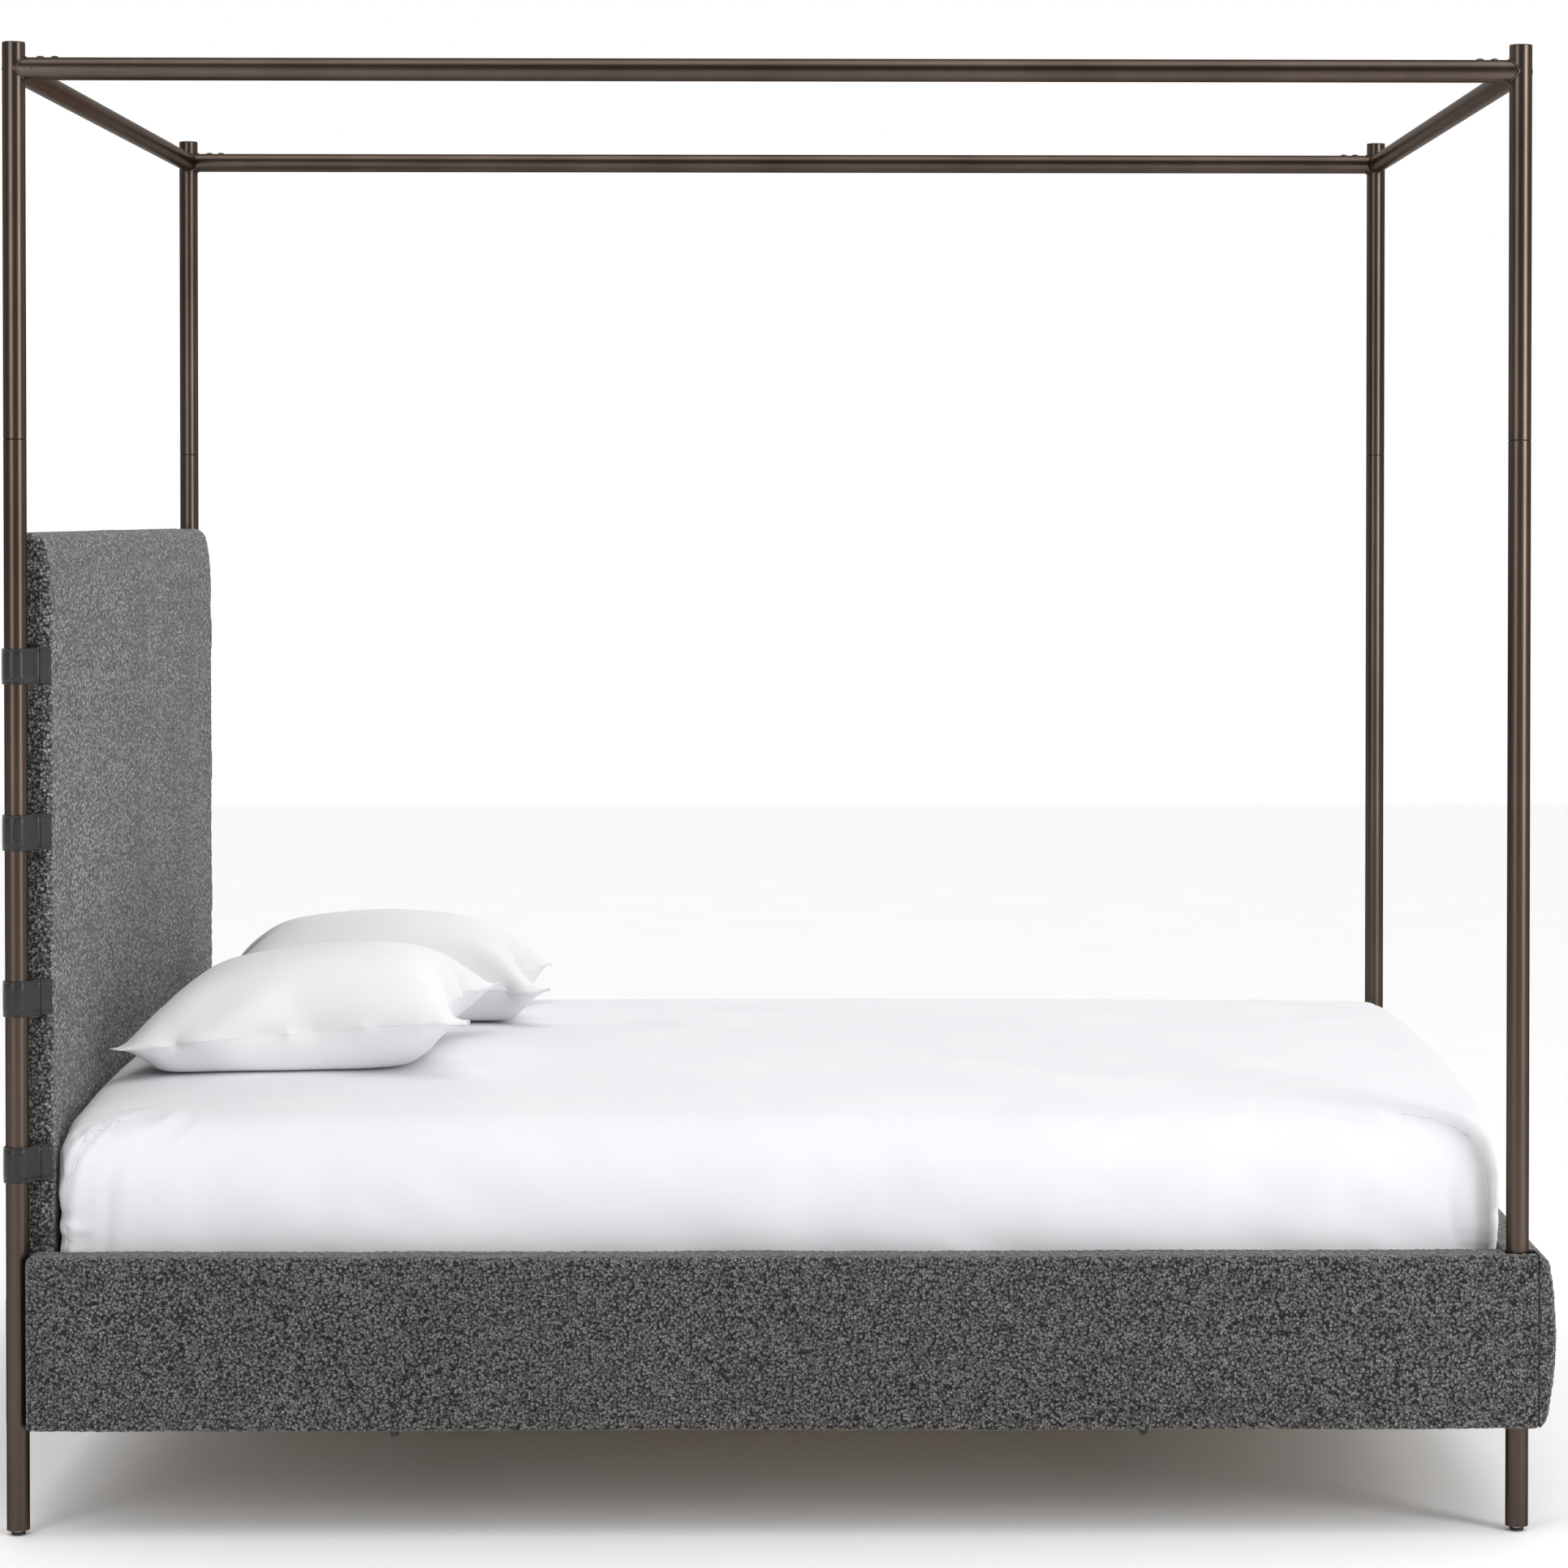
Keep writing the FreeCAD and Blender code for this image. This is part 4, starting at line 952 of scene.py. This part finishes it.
def spaced_grid(length, fine, coarse, zone):
    """Places from -1 to 1, closer together in a zone at both ends."""
    half = length / 2
    dense = np.linspace(half - zone, half, int(zone / fine) + 1)
    wide = np.linspace(0, half - zone, int((half - zone) / coarse) + 1)
    right = np.concatenate([wide, dense[1:]]) / half
    return np.concatenate([-right[:0:-1], right])


def bedding_shell(inset, fine, coarse, zone, bottom, tucks, steps=16):
    """Top, rolled edges, sides and tucked underside of the mattress shape as one open surface.

    Returns points, faces, and the last ring's indices.
    """
    low, high, half = HEAD_X + inset, FOOT_X - inset, HALF_Y - inset
    s = spaced_grid(high - low, fine, coarse, zone)
    t = spaced_grid(2 * half, fine, coarse, zone)
    columns, rows = len(s), len(t)
    order = edge_order(columns, rows)
    u = np.array([s[i] for i, _ in order])
    v = np.array([t[j] for _, j in order])
    at_end, at_side = np.abs(u) >= 0.9999, np.abs(v) >= 0.9999
    normal_x = np.where(at_end, 1.0, np.clip((np.abs(u) - 1) * (high - low) / 2 / 0.12 + 1, 0, 1))
    normal_y = np.where(at_side, 1.0, np.clip((np.abs(v) - 1) * half / 0.12 + 1, 0, 1))
    share = normal_x ** 2 / (normal_x ** 2 + normal_y ** 2 + 1e-9)
    share = np.where(at_side & ~at_end, 0.5 * normal_x ** 2, share)
    share = np.where(at_end & ~at_side, 1 - 0.5 * normal_y ** 2, share)
    roll_head, roll_foot, roll_side = 0.060, 0.018, 0.102
    drop_end, drop_side = 0.062, 0.150

    def ring(angle):
        away = 1 - max(math.cos(angle), 0.0) ** BOXINESS
        down = 1 - max(math.sin(angle), 0.0) ** BOXINESS
        x, y = outline(u, v, low + roll_head * away, high - roll_foot * away, half - roll_side * away,
                       BED_CORNER + 0.050 * away)
        drop = (drop_end * share + drop_side * (1 - share)) * down
        return np.column_stack([x, y, crown(x, y) - inset - drop])

    top_u, top_v = np.meshgrid(s, t, indexing="ij")
    size = np.maximum(np.abs(top_u), np.abs(top_v)).ravel() + 1e-9
    edge_u, edge_v = top_u.ravel() / size, top_v.ravel() / size
    middle, reach = (low + roll_head + high - roll_foot) / 2, (high - roll_foot - low - roll_head) / 2
    x, y = outline(edge_u, edge_v, middle - size * reach, middle + size * reach, size * (half - roll_side),
                   (BED_CORNER + 0.050) * size ** 6)
    top = np.column_stack([x, y, crown(x, y) - inset])
    faces = [tuple(reversed(f)) for f in grid_faces(columns, rows)]
    first = [i * rows + j for i, j in order]
    rings = [ring(a) for a in np.radians(np.linspace(90, 0, steps + 1))[1:]]
    start = rings[-1][:, 2]
    under_edge = 0.010

    def level(pull, height, corner=BED_CORNER):
        x, y = outline(u, v, low + pull, high - pull, half - pull, corner)
        return np.column_stack([x, y, height + 0 * x])

    for down in np.linspace(0, 1, 30)[1:]:
        rings.append(level(0.0, start * (1 - down) + (bottom + under_edge) * down))
    for angle in np.radians((30, 60, 90)):
        rings.append(level(under_edge * (1 - math.cos(angle)), bottom + under_edge * (1 - math.sin(angle))))
    rings += [level(tuck, bottom, BED_CORNER + 0.3 * tuck) for tuck in tucks]
    faces += loops_joined(first, len(top), len(rings))
    points = np.concatenate([top] + rings)
    last = [len(points) - len(order) + k for k in range(len(order))]
    return points, faces, last


def facing_out(points, faces):
    """Normals of the bedding shell, pointing away from its middle."""
    normals = outward_normals(points, faces)
    top = np.argmax(points[:, 2])
    return normals if normals[top, 2] > 0 else -normals


def corner_seams(surface):
    """The sheet's sewn corners, from the top over the roll and down to the hem, laid on the surface."""
    lines = []
    for end, x_edge, sign_x in (("head", HEAD_X, -1), ("foot", FOOT_X, 1)):
        for sign_y in (-1, 1):
            drift = 0.0 if end == "head" else 0.008
            stops = ((0.128, 0.064, 0.595), (0.086, 0.040, 0.585), (0.055, 0.024, 0.566),
                     (0.034, 0.012, 0.535), (0.024, 0.008, 0.505), (0.018, 0.006, 0.45),
                     (0.014, 0.006, 0.38), (0.012 + drift, 0.006, 0.302))
            points = np.array([(x_edge - sign_x * a, sign_y * (HALF_Y - b), c) for a, b, c in stops])
            run = np.linspace(0, len(points) - 1, 90)
            line = np.stack([np.interp(run, np.arange(len(points)), points[:, k]) for k in range(3)], 1)
            near = surface[np.linalg.norm(surface - line[45], axis=1) < 0.35]
            line = near[np.linalg.norm(near[:, None] - line[None], axis=2).argmin(0)]
            for _ in range(6):
                line[1:-1] = (line[:-2] + 2 * line[1:-1] + line[2:]) / 4
            lines.append(line)
    return lines


def sheet_wrinkles(points, normals):
    """How far the fitted sheet stands off its mattress at each point."""
    x, y, z = points.T
    lift = 0.0011 * ripple(x, y, 0.42, 61, 2) + 0.0005 * ripple(x, y * 2.2, 0.11, 71, 2)
    low_side = np.clip((CROWN_Z - 0.03 - z) / 0.10, 0, 1) * np.clip((z - UNDER_Z) / 0.02, 0, 1)
    around = np.where(np.abs(normals[:, 1]) > np.abs(normals[:, 0]), x, y)
    lift += low_side * 0.0026 * ripple(around, z * 0.28, 0.085, 83, 2)
    lift += low_side * 0.0020 * ripple(around * 0.8 + z * 1.5, z * 0.5 - around * 0.25, 0.12, 97, 2)
    for index, line in enumerate(corner_seams(points)):
        near = np.linalg.norm(points - line[45], axis=1) < 0.42
        cloud = points[near]
        gaps = np.linalg.norm(cloud[:, None, :] - line[None, ::3, :], axis=2)
        distance = gaps.min(1)
        where = gaps.argmin(1) * 3
        step = line[np.minimum(where + 1, len(line) - 1)] - line[where]
        offset = cloud - line[where]
        side = np.sign(np.einsum("ij,ij->i", np.cross(step, normals[near]), offset))
        down = where / float(len(line))
        groove = (0.0014 * np.exp(-((distance - 0.011) / 0.006) ** 2)
                  - 0.0024 * np.exp(-(distance / 0.0055) ** 2))
        below_top = np.clip((CROWN_Z - 0.022 - cloud[:, 2]) / 0.03, 0, 1) * (0.45 if index > 1 else 1.0)
        pucker_run = where * 0.36 + index
        inside_side = 0.5 + 0.5 * side * (1 if index in (0, 3) else -1)
        puckers = np.sin(pucker_run * 2.1 + 1.3 * np.sin(pucker_run)) * np.exp(-(distance / 0.036) ** 2)
        puckers *= 0.0030 * (0.45 + 0.55 * inside_side) * np.clip(distance / 0.006, 0, 1)
        folds = 0.0040 * np.exp(-(distance / 0.10) ** 2) * np.clip(distance / 0.02, 0, 1)
        folds *= ripple(distance, down * 0.06, 0.028, 113 + index, 2)
        folds *= np.clip((CROWN_Z - 0.004 - cloud[:, 2]) / 0.03, 0.15, 1)
        lift[near] += (groove + puckers) * below_top + folds
    return lift


def make_mattress():
    points, faces, last = bedding_shell(0.0120, 0.020, 0.030, 0.12, UNDER_Z + 0.0014, (0.02,), 14)
    faces.append(tuple(last[::-1]))
    piece = new_object("mattress_body", points, faces, "mattress_ticking")
    cleaned(piece)
    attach(piece, "mattress_set")
    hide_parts("mattress")
    return piece


def make_fitted_sheet():
    points, faces, last = bedding_shell(-0.0002, 0.0052, 0.0125, 0.17, UNDER_Z + 0.0003, SHEET_TUCKS)
    top_soft = relaxed(points, faces, 5, last)
    soften = np.clip((points[:, 2] - UNDER_Z - 0.06) / 0.05, 0, 1)[:, None]
    points = points * (1 - soften) + top_soft * soften
    normals = facing_out(points, faces)
    lift = sheet_wrinkles(points, normals)
    under = points[:, 2] < UNDER_Z + 0.004
    lift = np.where(under, 0.0, lift)
    under_pillows = (points[:, 0] < PILLOW_END) & (points[:, 2] > CROWN_Z - 0.02)
    limit = np.where(under_pillows, 0.0008, 0.006)
    lift = np.clip(lift, -0.0030, limit)
    moved = points + normals * lift[:, None]
    moved[:, 0] = np.maximum(moved[:, 0], node_box("headboard_cover")[1][0] + 0.0008)
    seams = []
    for line in corner_seams(moved):
        away = line - (0, 0, CROWN_Z - 0.12)
        away /= np.linalg.norm(away, axis=1)[:, None]
        seams.append(tube_along(line + away * SEAM_STAND, SEAM_RADIUS, 6))
    sewn, sewn_faces = merged([(moved, faces)] + seams)
    piece = new_object("cotton_fitted_sheet", sewn, sewn_faces, "sheet_cotton")
    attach(piece, "mattress_set")
    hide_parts("fitted_sheet")
    hem = moved[last][::2]
    vertices, hem_faces = tube_along(hem + np.array((0, 0, 0.0002)), 0.0014, 6, closed=True)
    elastic = new_object("fitted_sheet_elastic_hem", vertices, hem_faces, "sheet_cotton", ELASTIC)
    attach(elastic, "mattress_set")


MATTRESS = make_mattress()
make_fitted_sheet()


# --- pillows
PANEL_GRID = 84
PANEL_GROWTH = 1.12          # flat panels are cut this much larger than the filled pillow
PRESSURE = 3.2
FILL_FRAMES = 26


def pillow_panels(width, length, count, thickness):
    """Two panels sewn at their edges, only a little apart, on a grid; also the shared edge's indices."""
    s = np.linspace(-1, 1, count)
    u, v = np.meshgrid(s, s, indexing="ij")
    u, v = u.ravel(), v.ravel()
    bulge = thickness * ((1 - u ** 4) * (1 - v ** 4)) ** 0.5
    top = np.column_stack([u * width / 2, v * length / 2, bulge])
    low = np.column_stack([u * width / 2, v * length / 2, -bulge])
    edge = {i * count + j for i, j in edge_order(count, count)}
    faces = grid_faces(count, count)
    number = {}
    extra = []
    for k in range(count * count):
        if k in edge:
            number[k] = k
        else:
            number[k] = count * count + len(extra)
            extra.append(low[k])
    faces += [tuple(number[k] for k in reversed(f)) for f in grid_faces(count, count)]
    return np.concatenate([top, np.array(extra)]), faces, sorted(edge)


def inflate(piece, pressure, frames):
    """Fills the sewn panels with the cloth solver and keeps the result."""
    cloth = piece.modifiers.new("fill", "CLOTH")
    settings = cloth.settings
    settings.quality = 7
    settings.mass = 0.25
    settings.tension_stiffness = 22
    settings.compression_stiffness = 22
    settings.shear_stiffness = 8
    settings.bending_stiffness = 1.2
    settings.use_pressure = True
    settings.uniform_pressure_force = pressure
    settings.effector_weights.gravity = 0
    cloth.point_cache.frame_start = 1
    cloth.point_cache.frame_end = frames
    scene = bpy.context.scene
    for frame_number in range(1, frames + 1):
        scene.frame_set(frame_number)
    graph = bpy.context.evaluated_depsgraph_get()
    result = piece.evaluated_get(graph)
    points = np.array([v.co[:] for v in result.data.vertices])
    piece.modifiers.clear()
    scene.frame_set(1)
    return points


def make_pillow(name, seed, lean, turn, shift, fullness):
    """A filled pillow in its CAD box, resting on the sheet: points, faces and the edge seam's loop."""
    low, high = node_box(name)
    width, length = high[0] - low[0], high[1] - low[1]
    count = PANEL_GRID
    rest, faces, edge = pillow_panels(width * PANEL_GROWTH, length * PANEL_GROWTH, count, 0.012)
    u, v = rest[:, 0] / (width * PANEL_GROWTH / 2), rest[:, 1] / (length * PANEL_GROWTH / 2)
    sign = np.where(np.arange(len(rest)) < count * count, 1.0, -1.0)
    draft = new_object(name + "_draft", rest, faces, "pillow_cotton")
    local = ripple(u * 3, v * 3, 1.0, seed, 3) * 0.0012 * sign
    for vertex, lift in zip(draft.data.vertices, local):
        vertex.co.z += lift
    points = relaxed(inflate(draft, PRESSURE, FILL_FRAMES), faces, 45, edge)
    bpy.data.objects.remove(draft)
    centre = (points.max(0) + points.min(0)) / 2
    size = points.max(0) - points.min(0)
    points = (points - centre) / size
    spin = math.radians(turn)
    turned = np.array(((math.cos(spin), math.sin(spin)), (-math.sin(spin), math.cos(spin))))
    points[:, :2] = points[:, :2] @ turned
    points[:, :2] /= points[:, :2].max(0) - points[:, :2].min(0)
    points[:, 0] = (low[0] + high[0]) / 2 + points[:, 0] * width
    points[:, 1] = (low[1] + high[1]) / 2 + points[:, 1] * length + shift
    total = (high[2] - low[2]) * fullness
    z = high[2] - total / 2 + points[:, 2] * total + lean * (points[:, 0] - (low[0] + high[0]) / 2) / width
    z -= z.max() - high[2]
    seat = crown(points[:, 0], points[:, 1]) + 0.0022
    soft = 0.009
    z = np.where(z < seat + soft, seat + soft * np.exp(np.clip((z - seat - soft) / soft, -8, 0)), z)
    points[:, 2] = z
    loop = [i * count + j for i, j in edge_order(count, count)]
    belly = np.clip((z - seat) / 0.045, 0, 1)
    belly = 4 * belly * (1 - belly) * (sign < 0) * 0.017
    outward = points[:, :2] - points[:, :2].mean(0)
    outward /= np.linalg.norm(outward, axis=1)[:, None] + 1e-9
    points[:, :2] += outward * belly[:, None]
    points = relaxed(points, faces, 5, loop)
    near_corner = np.clip(1.25 - np.hypot(1 - np.abs(u), 1 - np.abs(v)) / 0.42, 0, 1)
    crease = ripple((np.abs(u) - np.abs(v)) * 0.5, (np.abs(u) + np.abs(v)) * 0.10, 0.10, seed + 40, 2)
    edge_fade = np.clip((1 - np.maximum(np.abs(u), np.abs(v))) / 0.06, 0, 1)
    clear = np.clip((points[:, 2] - seat - 0.006) / 0.02, 0, 1)
    points[:, 2] += 0.0028 * sign * near_corner * crease * edge_fade * clear
    points[:, 2] = np.minimum(points[:, 2], high[2])
    return points, faces, loop


def finish_pillow(name, points, faces, loop):
    seam = np.array([points[k] for k in loop])
    seam = (np.roll(seam, 1, 0) + 2 * seam + np.roll(seam, -1, 0)) / 4
    vertices, all_faces = merged([(points, faces), tube_along(seam, 0.0011, 6, closed=True)])
    piece = new_object(name.replace("pillow", "pillow_case"), vertices, all_faces, "pillow_cotton")
    smoother = piece.modifiers.new("smooth", "SUBSURF")
    smoother.levels = 1
    smoother.render_levels = 1
    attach(piece, name)
    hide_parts(name)


PILLOWS = {
    "pillow_near": {"seed": 5, "lean": 0.046, "turn": -1.5, "shift": -0.012, "fullness": 1.28},
    "pillow_far": {"seed": 9, "lean": 0.010, "turn": 2.5, "shift": 0.0, "fullness": 1.42},
}
for NAME, HABIT in PILLOWS.items():
    finish_pillow(NAME, *make_pillow(NAME, **HABIT))


# --- floor
def make_floor():
    reach = 14.0
    vertices = [(-reach, -reach, 0), (reach, -reach, 0), (reach, reach, 0), (-reach, reach, 0)]
    finish = Finish("pale_floor", roughness=0.8)
    tone = finish.ramp(finish.noise(3.0, 3.0), (0.3, 0.925), (0.7, 0.935))
    material = finish.done(tone, finish.spread(finish.noise(60.0), 0.7, 0.85),
                           finish.bump(finish.noise(300.0), 0.0001))
    floor = new_object("studio_floor", vertices, [(0, 1, 2, 3)], material=material, smooth=False)


make_floor()
